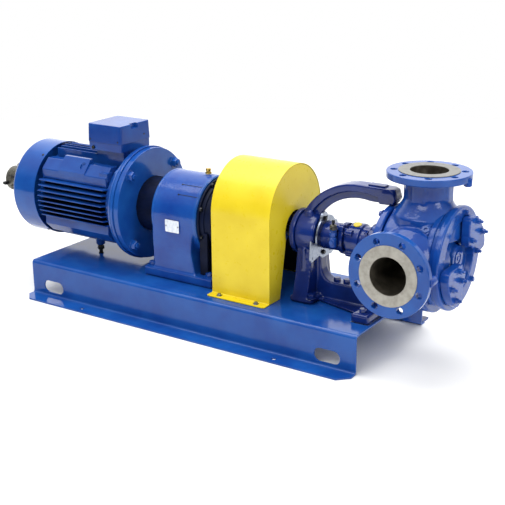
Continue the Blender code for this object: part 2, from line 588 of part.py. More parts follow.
def make_pump(carrier, paint):
    flange_back = PORT_FACE - PORT_FLANGE_THICKNESS
    rim_face = PORT_FACE - RAISED_FACE
    slim = NECK_RADIUS - 0.003
    neck = [(0.060, 0), (0.060, NECK_RADIUS), (0.150, NECK_RADIUS), (0.170, slim), (flange_back - 0.004, slim),
            (flange_back, NECK_RADIUS + 0.003), (flange_back, PORT_FLANGE_RADIUS),
            (rim_face, PORT_FLANGE_RADIUS),
            (rim_face, RAISED_FACE_RADIUS), (PORT_FACE, RAISED_FACE_RADIUS), (PORT_FACE, 0)]
    towards_front = Matrix.Rotation(math.radians(90), 4, "X")
    middle = (0, 0, SHAFT_HEIGHT)
    top_neck = turned(neck, AXIS_Z, middle)
    front_neck = turned(neck, towards_front, middle)
    body = [(CASING_REAR, 0), (CASING_REAR, CASING_RADIUS - 0.008), (CASING_REAR + 0.012, CASING_RADIUS),
            (0.044, CASING_RADIUS + 0.002), (0.050, CASING_FLANGE_RADIUS),
            (CASING_FRONT, CASING_FLANGE_RADIUS),
            (CASING_FRONT, 0)]
    # The casing's belly hangs lower than the drum
    belly = turned([(-0.020, 0), (-0.020, BELLY_RADIUS - 0.012), (-0.010, BELLY_RADIUS),
                    (CASING_FRONT - 0.0005, BELLY_RADIUS), (CASING_FRONT - 0.0005, 0)], centre=BELLY_MIDDLE)
    # The two bores start a little past the middle, each at its own depth, so that no facets coincide
    beyond = PORT_FACE + 0.01
    ways = [turned(disc(-0.043, beyond, PORT_BORE_RADIUS), AXIS_Z, middle, phase=CUTTER_PHASE),
            turned(disc(-0.039, beyond, PORT_BORE_RADIUS), towards_front, middle, phase=CUTTER_PHASE)]
    back = flange_back - 0.002
    for i in range(PORT_BOLTS):
        angle = 2 * math.pi * (i + 0.5) / PORT_BOLTS
        a = PORT_BOLT_CIRCLE * math.cos(angle)
        b = PORT_BOLT_CIRCLE * math.sin(angle)
        ways.append(bar((a, b, SHAFT_HEIGHT + back), (a, b, SHAFT_HEIGHT + beyond), PORT_BOLT_HOLE_RADIUS, 12))
        ways.append(bar((a, -back, SHAFT_HEIGHT + b), (a, -beyond, SHAFT_HEIGHT + b), PORT_BOLT_HOLE_RADIUS,
                        12))
    piece("pump_casing", turned(body), paint, carrier, added=[top_neck, front_neck, belly], removed=ways)

    # The foot is an angle: an upright plate that ends under the belly, and a sole behind it
    upright = block((-0.036, -0.043, BASE_HEIGHT + 0.001), (0.016, -0.036, SHAFT_HEIGHT - CASING_RADIUS))
    sole = block((-0.036, -0.0375, BASE_HEIGHT), (0.016, 0.004, BASE_HEIGHT + 0.007))
    piece("casing_foot", upright, paint, carrier, added=[sole],
          removed=[turned(disc(-0.2, 0.2, BELLY_RADIUS + 0.0003), centre=BELLY_MIDDLE)])
    make_front(carrier, paint)


def make_front(carrier, paint):
    """The dished front cover, and the two jacket covers bolted over its recess."""
    spigot = 0.011
    chamfer = 0.004
    back = CASING_FRONT + GAP
    boss_front = COVER_FRONT - chamfer
    cover = [(back, 0), (back, CASING_FLANGE_RADIUS), (CASING_FRONT + spigot, CASING_FLANGE_RADIUS),
             (CASING_FRONT + spigot, COVER_RADIUS), (COVER_FRONT - chamfer, COVER_RADIUS),
             (COVER_FRONT, COVER_RADIUS - chamfer), (COVER_FRONT, COVER_RECESS_RADIUS),
             (COVER_RECESS_FLOOR, COVER_RECESS_RADIUS - chamfer), (COVER_RECESS_FLOOR, COVER_BOSS_RADIUS),
             (boss_front, COVER_BOSS_RADIUS - chamfer), (boss_front, 0)]
    piece("front_cover", turned(cover), paint, carrier)
    nut_rear, nut_front = JACKET_FRONT - 0.001, JACKET_FRONT + 0.009
    # Each jacket cover: its first and last angle, inner and outer radius, and the radius and angle of its studs
    for name, first, last, inner, outer, studs in (
        ("jacket_cover_upper", 3, 98, 0.030, 0.112, ((0.100, 63), (0.098, 36), (0.052, 82), (0.044, 20))),
        ("jacket_cover_lower", 180, 250, 0.036, 0.126,
         ((0.112, 206), (0.113, 230), (0.063, 190), (0.060, 224))),
    ):
        corner = 6
        outline = arc((0, SHAFT_HEIGHT), outer, first + corner, last - corner, 10)
        outline += arc((0, SHAFT_HEIGHT), outer - 0.010, last, last, 1)[:1]
        outline += arc((0, SHAFT_HEIGHT), inner, last, first, 6)
        outline += arc((0, SHAFT_HEIGHT), outer - 0.010, first, first, 1)[:1]
        pins = []
        for radius, degrees in studs:
            y = radius * math.cos(math.radians(degrees))
            z = SHAFT_HEIGHT + radius * math.sin(math.radians(degrees))
            nut = [(nut_rear, 0), (nut_rear, 0.008), (nut_front, 0.008), (nut_front, 0.005),
                   (STUD_FRONT, 0.005),
                   (STUD_FRONT, 0)]
            pins.append(turned(nut, centre=(0, y, z), segments=12))
        piece(name, prism(outline, COVER_FRONT + GAP, JACKET_FRONT), paint, carrier, added=pins)


def main():
    clear_scene()
    unit = bpy.data.objects.new("gear_pump_unit", None)
    bpy.context.collection.objects.link(unit)
    unit.location = (PORT_LINE_X, 0, 0)
    paint = finish_of("blue enamel", "#2f5fb3", 0.28)
    dark = finish_of("shaded blue enamel", "#1f3560", 0.4)
    navy = finish_of("navy enamel", "#1b2c5c", 0.3)
    yellow = finish_of("yellow enamel", "#f0d92e", 0.4)
    black = finish_of("blackened steel", "#1a1b1d", 0.5, 0.6)
    steel = finish_of("bright steel", "#8d8f92", 0.3, 1.0)
    zinc = finish_of("zinc plate", "#b7bbc2", 0.35, 0.9)
    brass = finish_of("brass", "#c0a24a", 0.3, 1.0)
    rubber = finish_of("coupling rubber", "#181818", 0.8)
    plate = finish_of("aluminium label", "#d5d7da", 0.35, 0.7)
    make_base(unit, paint)
    make_motor(unit, paint, black, steel)
    make_gearbox(unit, paint, dark, brass, plate)
    make_guard(unit, yellow)
    make_drive_line(unit, paint, rubber, steel)
    make_bracket(unit, navy, zinc, paint)
    make_seal(unit, navy, paint)
    make_pump(unit, paint)


main()
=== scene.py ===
"""The looks of the gear pump unit, as a lesson in cells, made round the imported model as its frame."""

# %% [markdown]
# # A gear pump unit on its base
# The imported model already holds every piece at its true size, so nothing here moves or resizes one. This
# lesson loads it as a fixed frame, then gives each surface its paint or bare metal, and models again, with
# rounded edges and real screws, each piece whose plain solid would look rough close up.

# %% Load the frame
import json
import math

import bmesh
import bpy
from mathutils import Matrix, Vector


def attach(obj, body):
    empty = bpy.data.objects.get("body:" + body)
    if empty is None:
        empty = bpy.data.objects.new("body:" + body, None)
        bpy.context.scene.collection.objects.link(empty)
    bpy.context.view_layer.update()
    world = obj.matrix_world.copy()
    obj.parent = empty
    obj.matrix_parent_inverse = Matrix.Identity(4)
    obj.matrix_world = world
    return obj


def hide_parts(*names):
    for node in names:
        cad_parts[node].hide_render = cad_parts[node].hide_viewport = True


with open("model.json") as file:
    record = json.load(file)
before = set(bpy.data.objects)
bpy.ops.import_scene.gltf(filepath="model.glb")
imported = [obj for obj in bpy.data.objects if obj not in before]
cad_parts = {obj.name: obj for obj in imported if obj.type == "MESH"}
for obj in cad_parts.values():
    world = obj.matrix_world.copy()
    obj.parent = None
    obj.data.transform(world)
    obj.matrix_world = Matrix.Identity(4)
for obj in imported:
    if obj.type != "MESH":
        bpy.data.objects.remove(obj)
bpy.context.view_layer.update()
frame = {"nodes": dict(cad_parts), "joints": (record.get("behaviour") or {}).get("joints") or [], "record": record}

mounts = {mount["name"]: Vector(mount["pos_m"]) for mount in frame["record"]["mounts"]}
PORT_X = mounts["front_port_face"].x
PORT_FACE_Y = mounts["front_port_face"].y
PORT_FACE_Z = mounts["top_port_face"].z
SHAFT_Z = frame["joints"][0]["pos_m"][2]
print(len(frame["nodes"]), "nodes; the ports stand at x =", PORT_X, "and the shaft at z =", round(SHAFT_Z, 4))

# %% [markdown]
# ## Camera
# A photograph fixes where its camera stood: the bolt holes of the two flanges are known circles, and only
# one camera sees them at the places where the picture has them. A long lens from almost three metres keeps
# the lines nearly parallel, which is how machines are usually photographed.

# %% Place the camera
CAMERA_PLACE = (PORT_X + 1.0489, -2.3979, 1.1591)
CAMERA_TURN = math.radians(33.56)
CAMERA_TILT = math.radians(18.44)
CAMERA_ROLL = math.radians(-0.44)
SENSOR_MM = 36.0
# The focal length over the picture's width, both in pixels
FOCAL_SHARE = 1042.3 / 505

level = math.cos(CAMERA_TILT)
back = Vector((math.sin(CAMERA_TURN) * level, -math.cos(CAMERA_TURN) * level, math.sin(CAMERA_TILT)))
aim = (-back).to_track_quat("-Z", "Y").to_matrix().to_4x4()
camera_data = bpy.data.cameras.new("camera")
camera_data.sensor_width = SENSOR_MM
camera_data.lens = SENSOR_MM * FOCAL_SHARE
camera = bpy.data.objects.new("camera", camera_data)
camera.matrix_world = Matrix.Translation(CAMERA_PLACE) @ aim @ Matrix.Rotation(CAMERA_ROLL, 4, "Z")
bpy.context.scene.collection.objects.link(camera)
bpy.context.scene.camera = camera
print("lens", round(camera_data.lens, 1), "mm")

# %% [markdown]
# ## Light and floor
# Glossy enamel shows the room in it, so the room is half of the finish. The white floor is a disc of a few
# metres: the sides of the machine mirror it, and above its edge they mirror the darker room, which draws
# the crisp line that runs along every round piece. Large soft boxes overhead give the broad light on the
# tops, and a bright backdrop behind the unit turns every surface that lies flat pale.

# %% Build the studio
FLOOR_RADIUS = 3.2
ROOM_GREY = 0.09
BACKDROP_GREY = 1.6
CEILING_GREY = 1.0
# Level, and straight away from the camera
BEHIND = (-0.553, 0.833, 0)
LIT_FROM = (0, 0, 0.3)


def linear(hex_colour):
    """An sRGB hex colour as the linear values that shaders take, with alpha."""
    values = [int(hex_colour[i : i + 2], 16) / 255 for i in (1, 3, 5)]
    return (*(v / 12.92 if v <= 0.04045 else ((v + 0.055) / 1.055) ** 2.4 for v in values), 1.0)


def add(tree, kind, sockets=None, **settings):
    """One node. Settings name its own properties, and sockets its inputs: values or other nodes' outputs."""
    made = tree.nodes.new(kind)
    for name, value in settings.items():
        setattr(made, name, value)
    for name, value in (sockets or {}).items():
        if isinstance(value, bpy.types.NodeSocket):
            tree.links.new(value, made.inputs[name])
        else:
            made.inputs[name].default_value = value
    return made


def nothing_selected():
    if bpy.context.mode != "OBJECT":
        bpy.ops.object.mode_set(mode="OBJECT")
    bpy.ops.object.select_all(action="DESELECT")


def soft_box(name, place, size, watts):
    """A large square lamp that faces the machine."""
    light = bpy.data.lights.new(name, "AREA")
    light.shape = "RECTANGLE"
    light.size, light.size_y = size
    light.energy = watts
    lamp = bpy.data.objects.new(name, light)
    lamp.location = place
    lamp.rotation_euler = (Vector(LIT_FROM) - Vector(place)).to_track_quat("-Z", "Y").to_euler()
    bpy.context.scene.collection.objects.link(lamp)


world = bpy.data.worlds.new("studio")
bpy.context.scene.world = world
world.use_nodes = True
sky = world.node_tree
sky.nodes.clear()
looking = add(sky, "ShaderNodeTexCoord").outputs["Generated"]
height = add(sky, "ShaderNodeSeparateXYZ", {"Vector": looking})
ceiling = add(sky, "ShaderNodeMapRange", {"Value": height.outputs["Z"], "From Min": 0.3, "From Max": 0.65,
                                          "To Min": ROOM_GREY, "To Max": CEILING_GREY})
along = add(sky, "ShaderNodeVectorMath", {0: looking, 1: BEHIND}, operation="DOT_PRODUCT")
backdrop = add(sky, "ShaderNodeMapRange", {"Value": along.outputs["Value"], "From Min": 0.25,
                                           "From Max": 0.6, "To Min": ROOM_GREY, "To Max": BACKDROP_GREY})
brighter = add(sky, "ShaderNodeMath", {0: ceiling.outputs["Result"], 1: backdrop.outputs["Result"]},
               operation="MAXIMUM")
room = add(sky, "ShaderNodeBackground", {"Color": brighter.outputs["Value"], "Strength": 1.0})
white = add(sky, "ShaderNodeBackground", {"Color": (1, 1, 1, 1), "Strength": 1.0})
# The camera itself sees plain white, and only the machine sees the room
seen = add(sky, "ShaderNodeLightPath").outputs["Is Camera Ray"]
chosen = add(sky, "ShaderNodeMixShader", {0: seen, 1: room.outputs[0], 2: white.outputs[0]})
add(sky, "ShaderNodeOutputWorld", {"Surface": chosen.outputs[0]})

soft_box("overhead soft box", (-0.4, 0.2, 3.0), (3.4, 2.2), 82)
soft_box("front soft box", (0.4, -2.9, 3.0), (2.4, 1.2), 43)
soft_box("side soft box", (3.4, -0.8, 1.7), (1.2, 1.6), 34)
bpy.context.scene.view_settings.view_transform = "Standard"

nothing_selected()
bpy.ops.mesh.primitive_circle_add(vertices=128, radius=FLOOR_RADIUS, fill_type="NGON", location=(0, 0, 0))
floor = bpy.context.object
floor.name = "floor"
floor_paint = bpy.data.materials.new("matt white studio floor")
floor_paint.use_nodes = True
shader = floor_paint.node_tree.nodes["Principled BSDF"]
shader.inputs["Base Color"].default_value = linear("#f0f0ef")
shader.inputs["Roughness"].default_value = 0.8
floor.data.materials.append(floor_paint)
print("floor", 2 * FLOOR_RADIUS, "m across")

# %% [markdown]
# ## Enamel
# Nearly all of the unit is sprayed with one glossy machine enamel. Enamel is a hard, clear-bodied paint:
# the colour comes from inside, and a sharp white gloss lies on top. What is under it decides its texture.
# Over bent sheet it is smooth with a faint orange peel. Over sand castings it follows the grain of the
# mould, so its highlights break into specks. The bracket and the seal have the same enamel, painted darker
# in navy as painted shade, and a near-black copy is painted shade where other parts shade the unit.

# %% Make the enamels
MM = 0.001


def material_named(name):
    """A new material with its node tree, its shader, and the piece's own coordinates."""
    made = bpy.data.materials.new(name)
    made.use_nodes = True
    tree = made.node_tree
    return made, tree, tree.nodes["Principled BSDF"], add(tree, "ShaderNodeTexCoord").outputs["Object"]


def grain(tree, place, size_mm, detail=3.0):
    """Noise whose lumps are about this many millimetres across."""
    noise = {"Vector": place, "Scale": 1 / (size_mm * MM), "Detail": detail}
    return add(tree, "ShaderNodeTexNoise", noise).outputs["Fac"]


def bumped(tree, shader, height, depth_mm, under=None):
    """A bump of this depth on the shader's normal, over another bump where one is given."""
    bump = add(tree, "ShaderNodeBump", {"Height": height, "Distance": depth_mm * MM, "Strength": 1.0})
    if under is not None:
        tree.links.new(under.outputs["Normal"], bump.inputs["Normal"])
    tree.links.new(bump.outputs["Normal"], shader.inputs["Normal"])
    return bump


def mixed_colour(tree, mask, low, high, dark, light):
    """Two hex colours mixed by a mask, from its low to its high value."""
    share = add(tree, "ShaderNodeMapRange", {"Value": mask, "From Min": low, "From Max": high})
    mix = add(tree, "ShaderNodeMix", data_type="RGBA")
    # A Mix node's sockets share their names, so those of its colours are found by their numbers
    tree.links.new(share.outputs["Result"], mix.inputs[0])
    mix.inputs[6].default_value = linear(dark)
    mix.inputs[7].default_value = linear(light)
    return mix.outputs[2]


def varied(tree, mask, low, high, least, most):
    """A number that runs from least to most with the mask."""
    return add(tree, "ShaderNodeMapRange", {"Value": mask, "From Min": low, "From Max": high,
                                            "To Min": least, "To Max": most}).outputs["Result"]


def enamel(name, dark, light, gloss, peel_mm, peel_depth_mm, cast_mm=None, cast_depth_mm=None, shine=0.38):
    """Sprayed enamel: two close shades drift over a hand's width, and a fine peel lies on any cast grain."""
    made, tree, shader, place = material_named(name)
    shader.inputs["Specular IOR Level"].default_value = shine
    drift = grain(tree, place, 90)
    tree.links.new(mixed_colour(tree, drift, 0.35, 0.65, dark, light), shader.inputs["Base Color"])
    worn = varied(tree, grain(tree, place, 14), 0.35, 0.65, gloss * 0.85, gloss * 1.2)
    tree.links.new(worn, shader.inputs["Roughness"])
    under = None
    if cast_mm:
        under = bumped(tree, shader, grain(tree, place, cast_mm, 2.0), cast_depth_mm)
    bumped(tree, shader, grain(tree, place, peel_mm), peel_depth_mm, under)
    return made


# Enamel on smooth sheet and machined flanges: a mirror with a breath of orange peel
sheet_blue = enamel("blue enamel on sheet steel", "#134390", "#1a52a0", 0.13, 5, 0.012)
# Enamel on sand castings: the same blue, broken by the mould's grain
cast_blue = enamel("blue enamel on cast iron", "#0f3a8c", "#184c9d", 0.13, 3, 0.02, 9, 0.5)
# The ribbed motor frame is die-cast, so its grain is finer
die_cast_blue = enamel("blue enamel on die-cast aluminium", "#113a86", "#184b98", 0.16, 3, 0.015, 6, 0.08)
# The bracket and the seal have the same blue enamel, painted darker navy as painted shade, for the shadow that the
# guard and the pump cast on them
navy_painted_shade = enamel("navy enamel on cast iron", "#0a1d58", "#102b74", 0.13, 3, 0.015, 8, 0.18, shine=0.5)
# A near-black copy of the blue enamel is painted shade, on surfaces deep between fins, inside housings and in
# other parts' shadow
near_black_shade_enamel = enamel("thin dark enamel on cast iron", "#050b1e", "#0a1534", 0.45, 3, 0.02, 8, 0.3, 0.12)
# The guard's safety yellow is a powder coat, less glossy and a little lumpy
guard_yellow = enamel("yellow powder coat on sheet steel", "#dcc21b", "#e6ce29", 0.32, 4, 0.012)
# Inside the guard the sheet is painted near black, as painted shade
guard_inside_shade_black = enamel("black primer on sheet steel", "#0b0b0a", "#141311", 0.55, 4, 0.01, shine=0.15)
enamels = (sheet_blue, cast_blue, die_cast_blue, navy_painted_shade, near_black_shade_enamel, guard_yellow, guard_inside_shade_black)
print("enamels:", [finish.name for finish in enamels])

# %% [markdown]
# ## Bare metal, rubber and labels
# A few surfaces are left bare because paint would spoil their work: the faces where pipes seal, the inside
# of the ports, shafts, plated steel and brass. Each keeps the mark of how it was cut: a lathe leaves rings
# round its centre, plating leaves cloudy crystals, and a mould leaves rough dark scale.

# %% Make the bare metals
def metal(name, dark, light, roughness, cloud_mm, metallic=1.0, bump_mm=None, bump_depth_mm=None):
    """Bare metal, or moulded rubber, with cloudy patches in its colour and its gloss."""
    made, tree, shader, place = material_named(name)
    cloud = grain(tree, place, cloud_mm)
    tree.links.new(mixed_colour(tree, cloud, 0.35, 0.65, dark, light), shader.inputs["Base Color"])
    worn = varied(tree, cloud, 0.3, 0.7, roughness * 0.8, roughness * 1.25)
    tree.links.new(worn, shader.inputs["Roughness"])
    shader.inputs["Metallic"].default_value = metallic
    if bump_mm:
        bumped(tree, shader, grain(tree, place, bump_mm), bump_depth_mm)
    return made


def faced(name, dark, light, centre, axis, ring_mm):
    """A face turned on a lathe: fine rings about its centre, over cloudy bare cast iron."""
    made, tree, shader, place = material_named(name)
    centred = add(tree, "ShaderNodeMapping", {"Vector": place, "Location": [-c for c in centre]})
    rings = add(tree, "ShaderNodeTexWave", {"Vector": centred.outputs["Vector"],
                                            "Scale": 1 / (ring_mm * MM * 2 * math.pi) * 0.5},
                wave_type="RINGS", rings_direction=axis)
    cloud = grain(tree, place, 12)
    tree.links.new(mixed_colour(tree, cloud, 0.3, 0.7, dark, light), shader.inputs["Base Color"])
    shader.inputs["Roughness"].default_value = 0.42
    shader.inputs["Metallic"].default_value = 0.55
    bumped(tree, shader, rings.outputs["Fac"], 0.01)
    return made


# The sealing face of a flange: cast iron cut on a lathe, pale and slightly warm. Its rings, really 0.8 mm
# apart, are drawn at 2 mm so that they show. The top one is painted darker, as painted shade that holds back
# the bright backdrop it mirrors
front_port, top_port = (PORT_X, PORT_FACE_Y, SHAFT_Z), (PORT_X, 0, PORT_FACE_Z)
front_face_metal = faced("faced cast iron, front port", "#8f8c84", "#a8a59d", front_port, "Y", 2.0)
top_face_metal = faced("faced cast iron, top port", "#6c6c69", "#82827e", top_port, "Z", 2.0)
# Inside a port the iron is as the mould left it: dark, oily and rough
bore_iron = metal("bare cast iron inside a port", "#4a453c", "#6b655a", 0.38, 20, 0.6, 3, 0.2)
zinc = metal("zinc-plated steel", "#7c8494", "#9aa1ae", 0.30, 8)
turned_steel = metal("bright turned steel", "#8b8d90", "#a5a7aa", 0.25, 6)
# Hot-blackened bolts: a thin oxide, dark but still a little glossy from oil
black_steel = metal("blackened steel", "#101113", "#1d1f22", 0.38, 5, 0.4)
brass = metal("turned brass", "#a98c3c", "#c7ab5a", 0.28, 6)
# The encoder's body is bare cast zinc that has dulled to a warm grey
dull_zinc = metal("dulled zinc alloy", "#4b4a44", "#77756c", 0.45, 7, 0.8, 4, 0.15)
label_metal = metal("satin aluminium plate", "#c9d0dc", "#e4e9f0", 0.35, 10, 0.7)
# Rubber takes no gloss, and a mould gives it a fine skin
rubber = metal("moulded black rubber", "#131313", "#1d1d1d", 0.75, 9, 0.0, 2, 0.05)
# The plugs of the cable entries are moulded plastic
black_plastic = metal("moulded black plastic", "#0f1012", "#1a1b1e", 0.42, 12, 0.0, 2, 0.02)
bare = (front_face_metal, top_face_metal, bore_iron, zinc, turned_steel, black_steel, brass, dull_zinc)
print("bare finishes:", [finish.name for finish in bare])

# %% [markdown]
# ## Tools of the workshop
# A handful of moves makes every piece. A round piece is raised ring by ring, as on a lathe: a circle is
# extruded a little way and scaled, again and again, along its profile. A flat piece is drawn point by point
# and pulled to its thickness. A casting is several such solids run together, remeshed and smoothed, which
# leaves the soft inner corners that a mould has. Positions along the machine are measured from the ports'
# centre line, as a pump's drawing does, and a finished piece is moved there once, in its mesh.

# %% Helpers for modelling
# Each frame turns a piece's own Z, along which it is raised, to a direction of the machine
FRAMES = {
    "X": Matrix(((0, 0, 1), (1, 0, 0), (0, 1, 0))).to_4x4(),
    "FRONT": Matrix(((1, 0, 0), (0, 0, -1), (0, 1, 0))).to_4x4(),
    "BACK": Matrix(((-1, 0, 0), (0, 0, 1), (0, 1, 0))).to_4x4(),
    "Z": Matrix.Identity(4),
}
ON_SHAFT = (0, 0, SHAFT_Z)
WELD = 1e-6
# Edges that turn by less than this many degrees are shaded soft
SOFT_BELOW = 40


def select_only(*things):
    nothing_selected()
    for thing in things:
        thing.select_set(True)
    bpy.context.view_layer.objects.active = things[0]


def settled(name, direction="Z", centre=(0, 0, 0)):
    """The piece in hand gets its name, and its place goes into its mesh, with faces that point outwards."""
    thing = bpy.context.object
    thing.name = thing.data.name = name
    bpy.ops.mesh.select_all(action="SELECT")
    bpy.ops.mesh.remove_doubles(threshold=WELD)
    bpy.ops.mesh.normals_make_consistent(inside=False)
    select_only(thing)
    thing.matrix_world = Matrix.Translation(centre) @ FRAMES[direction]
    bpy.ops.object.transform_apply(location=True, rotation=True, scale=True)
    return thing


def turned(name, profile, direction="X", centre=ON_SHAFT, segments=96, tube=False):
    """Raises (along, radius) points ring by ring. A tube's profile goes round its wall to its first point."""
    nothing_selected()
    along, radius = profile[0]
    bpy.ops.mesh.primitive_circle_add(vertices=segments, radius=radius, location=(0, 0, 0))
    bpy.ops.object.mode_set(mode="EDIT")
    bpy.ops.mesh.select_mode(type="VERT")
    bpy.ops.mesh.select_all(action="SELECT")
    bpy.ops.transform.translate(value=(0, 0, along))
    if not tube:
        bpy.ops.mesh.edge_face_add()
    for next_along, next_radius in [*profile[1:], *([profile[0]] if tube else [])]:
        bpy.ops.mesh.extrude_region_move(TRANSFORM_OT_translate={"value": (0, 0, next_along - along)})
        share = next_radius / radius
        bpy.ops.transform.resize(value=(share, share, 1), center_override=(0, 0, next_along))
        along, radius = next_along, next_radius
    return settled(name, direction, centre)


def line_of_points(points):
    """One vertex, extruded from point to point. The line stays in edit mode, selected."""
    bpy.ops.mesh.primitive_plane_add(size=0.01, location=(0, 0, 0))
    bpy.ops.object.mode_set(mode="EDIT")
    bpy.ops.mesh.select_mode(type="VERT")
    bpy.ops.mesh.select_all(action="SELECT")
    bpy.ops.mesh.merge(type="CENTER")
    bpy.ops.transform.translate(value=points[0])
    for here, there in zip(points, points[1:]):
        step = tuple(Vector(there) - Vector(here))
        bpy.ops.mesh.extrude_vertices_move(TRANSFORM_OT_translate={"value": step})
    bpy.ops.mesh.select_all(action="SELECT")


def drawn(name, outline, low, high, direction):
    """Fills an outline and pulls it from low to high. X takes (y, z), FRONT takes (x, z), Z takes (x, y)."""
    nothing_selected()
    line_of_points([(a, b, low) for a, b in outline])
    bpy.ops.mesh.edge_face_add()
    bpy.ops.mesh.extrude_region_move(TRANSFORM_OT_translate={"value": (0, 0, high - low)})
    return settled(name, direction)


def moved(thing, by, turn=(0, 0, 0)):
    """Turns a piece about the origin by these angles, then carries it away. Both go into its mesh."""
    select_only(thing)
    thing.rotation_euler = turn
    thing.location = by
    bpy.ops.object.transform_apply(location=True, rotation=True, scale=True)
    return thing


def picked(thing, test, kind="VERT"):
    """Goes into edit mode with only the vertices or edges selected that pass the test."""
    select_only(thing)
    bpy.ops.object.mode_set(mode="EDIT")
    bpy.ops.mesh.select_mode(type=kind)
    bpy.ops.mesh.select_all(action="DESELECT")
    work = bmesh.from_edit_mesh(thing.data)
    parts = work.verts if kind == "VERT" else work.edges
    for part in [part for part in parts if test(part)]:
        part.select_set(True)
    bmesh.update_edit_mesh(thing.data)


def applied(thing, kind, **settings):
    """Adds a modifier with its settings, and applies it."""
    select_only(thing)
    modifier = thing.modifiers.new(kind.title(), kind)
    for name, value in settings.items():
        setattr(modifier, name, value)
    bpy.ops.object.modifier_apply(modifier=modifier.name)
    return thing


def rounded_edges(thing, width, segments=2, angle=30):
    return applied(thing, "BEVEL", width=width, segments=segments, limit_method="ANGLE",
                   angle_limit=math.radians(angle), use_clamp_overlap=True)


def slab(name, low, high, soft=0.0, segments=2):
    """A cube primitive between two corners, with rounded edges where soft is given."""
    nothing_selected()
    low, high = Vector(low), Vector(high)
    bpy.ops.mesh.primitive_cube_add(size=1, location=(low + high) / 2, scale=high - low)
    thing = bpy.context.object
    thing.name = thing.data.name = name
    bpy.ops.object.transform_apply(location=True, rotation=True, scale=True)
    return rounded_edges(thing, soft, segments) if soft else thing


def bevelled(thing, test, width, segments):
    """Rounds only the edges that pass the test."""
    picked(thing, test, "EDGE")
    bpy.ops.mesh.bevel(offset=width, segments=segments)
    bpy.ops.object.mode_set(mode="OBJECT")
    return thing


def thickened(thing, thickness):
    """Gives a bent sheet its thickness, all of it below its top face."""
    top = max(thing.data.polygons, key=lambda face: face.center.z)
    return applied(thing, "SOLIDIFY", thickness=thickness, offset=-1 if top.normal.z > 0 else 1)


def combined(operation, thing, others):
    """Solids added to a piece or cut from it, for good. The others are used up."""
    for other in others:
        applied(thing, "BOOLEAN", operation=operation, solver="EXACT", object=other)
        bpy.data.objects.remove(other, do_unlink=True)
    return thing


def cut(thing, *others):
    return combined("DIFFERENCE", thing, others)


def united(thing, *others):
    return combined("UNION", thing, others)


def together(name, things):
    """Several solids that stay as they are become one piece."""
    select_only(*things)
    bpy.ops.object.join()
    thing = bpy.context.object
    thing.name = thing.data.name = name
    return thing


def cast(thing, voxel, rounds):
    """Solids run together as in a mould: remeshed in small cubes and smoothed, so that corners turn soft."""
    applied(thing, "REMESH", mode="VOXEL", voxel_size=voxel)
    return applied(thing, "SMOOTH", factor=0.5, iterations=rounds)


def evenly(count, first):
    """Angles in degrees that share a full turn, from the first one on."""
    return [first + 360 * i / count for i in range(count)]


def on_circle(x, radius, degrees):
    """Places at x on a circle about the shaft, one for each angle in degrees."""
    angles = [math.radians(angle) for angle in degrees]
    return [(x, radius * math.cos(a), SHAFT_Z + radius * math.sin(a)) for a in angles]


def arc(centre, radius, start, end, steps):
    """Points along a circle in degrees, from start to end."""
    angles = [math.radians(start + (end - start) * i / steps) for i in range(steps + 1)]
    return [(centre[0] + radius * math.cos(a), centre[1] + radius * math.sin(a)) for a in angles]


def eased(profile, size, steps=3):
    """A profile whose inner corners turn through a small arc, as a worn tool or thick paint leaves them."""
    soft = [profile[0]]
    for before, here, after in zip(profile, profile[1:], profile[2:]):
        back, on = Vector(before) - Vector(here), Vector(after) - Vector(here)
        reach = min(size, back.length * 0.45, on.length * 0.45)
        start, end = Vector(here) + back.normalized() * reach, Vector(here) + on.normalized() * reach
        for step in range(steps + 1):
            t = step / steps
            soft.append(tuple((1 - t) ** 2 * start + 2 * t * (1 - t) * Vector(here) + t**2 * end))
    return [*soft, profile[-1]]


def finished(thing, material, slot, replaces=(), body="unit", even=True):
    """The last touches on a piece: its place, soft shading, its finish, and what it stands for."""
    select_only(thing)
    thing.location.x = PORT_X
    bpy.ops.object.transform_apply(location=True, rotation=True, scale=True)
    bpy.ops.object.mode_set(mode="EDIT")
    bpy.ops.mesh.select_all(action="SELECT")
    bpy.ops.mesh.remove_doubles(threshold=WELD)
    bpy.ops.mesh.normals_make_consistent(inside=False)
    bpy.ops.object.mode_set(mode="OBJECT")
    bpy.ops.object.shade_smooth_by_angle(angle=math.radians(SOFT_BELOW))
    if even:
        applied(thing, "WEIGHTED_NORMAL", keep_sharp=True)
    thing.data.materials.clear()
    thing.data.materials.append(material)
    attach(thing, body)
    if replaces:
        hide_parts(*replaces)
    print(thing.name, sum(len(face.vertices) - 2 for face in thing.data.polygons), "triangles")
    return thing


def joined(name, solids, material, slot, replaces=(), **touches):
    """Solids that become one finished piece."""
    return finished(together(name, solids), material, slot, replaces, **touches)


def second_finish(thing, material, test):
    """Another material on those faces of a finished piece that pass the test."""
    thing.data.materials.append(material)
    for face in thing.data.polygons:
        if test(face):
            face.material_index = 1


def hex_heads(places, direction, across, head, washer=0.0, washer_rise=0.0, stud=0.0):
    """Hexagon heads or nuts with chamfered corners, with a round washer and a stud's end where given."""
    corner, radius = across / math.sqrt(3), across * 0.3
    base = washer_rise
    solids = []
    for place in places:
        if washer:
            rings = [(0, washer), (base * 0.7, washer), (base, washer * 0.95)]
            solids.append(turned("washer", rings, direction, place, 32))
        rings = [(base * 0.5, corner), (base + head * 0.82, corner), (base + head, corner * 0.88)]
        solids.append(turned("hexagon", rings, direction, place, 6))
        if stud:
            tip = base + head + stud
            rings = [(base, radius), (tip - 0.001, radius), (tip, radius * 0.8)]
            solids.append(turned("stud", rings, direction, place, 20))
    return solids


# %% [markdown]
# ## The base
# The base is one sheet of 5 mm steel bent four times into a hat, with its brim on the floor. A press brake
# leaves a round bend, and that bend is what draws the two bright lines along the machine. So it is modelled
# as the sheet itself: a strip whose edges are extruded along the section, bevelled at the bends, then
# thickened.

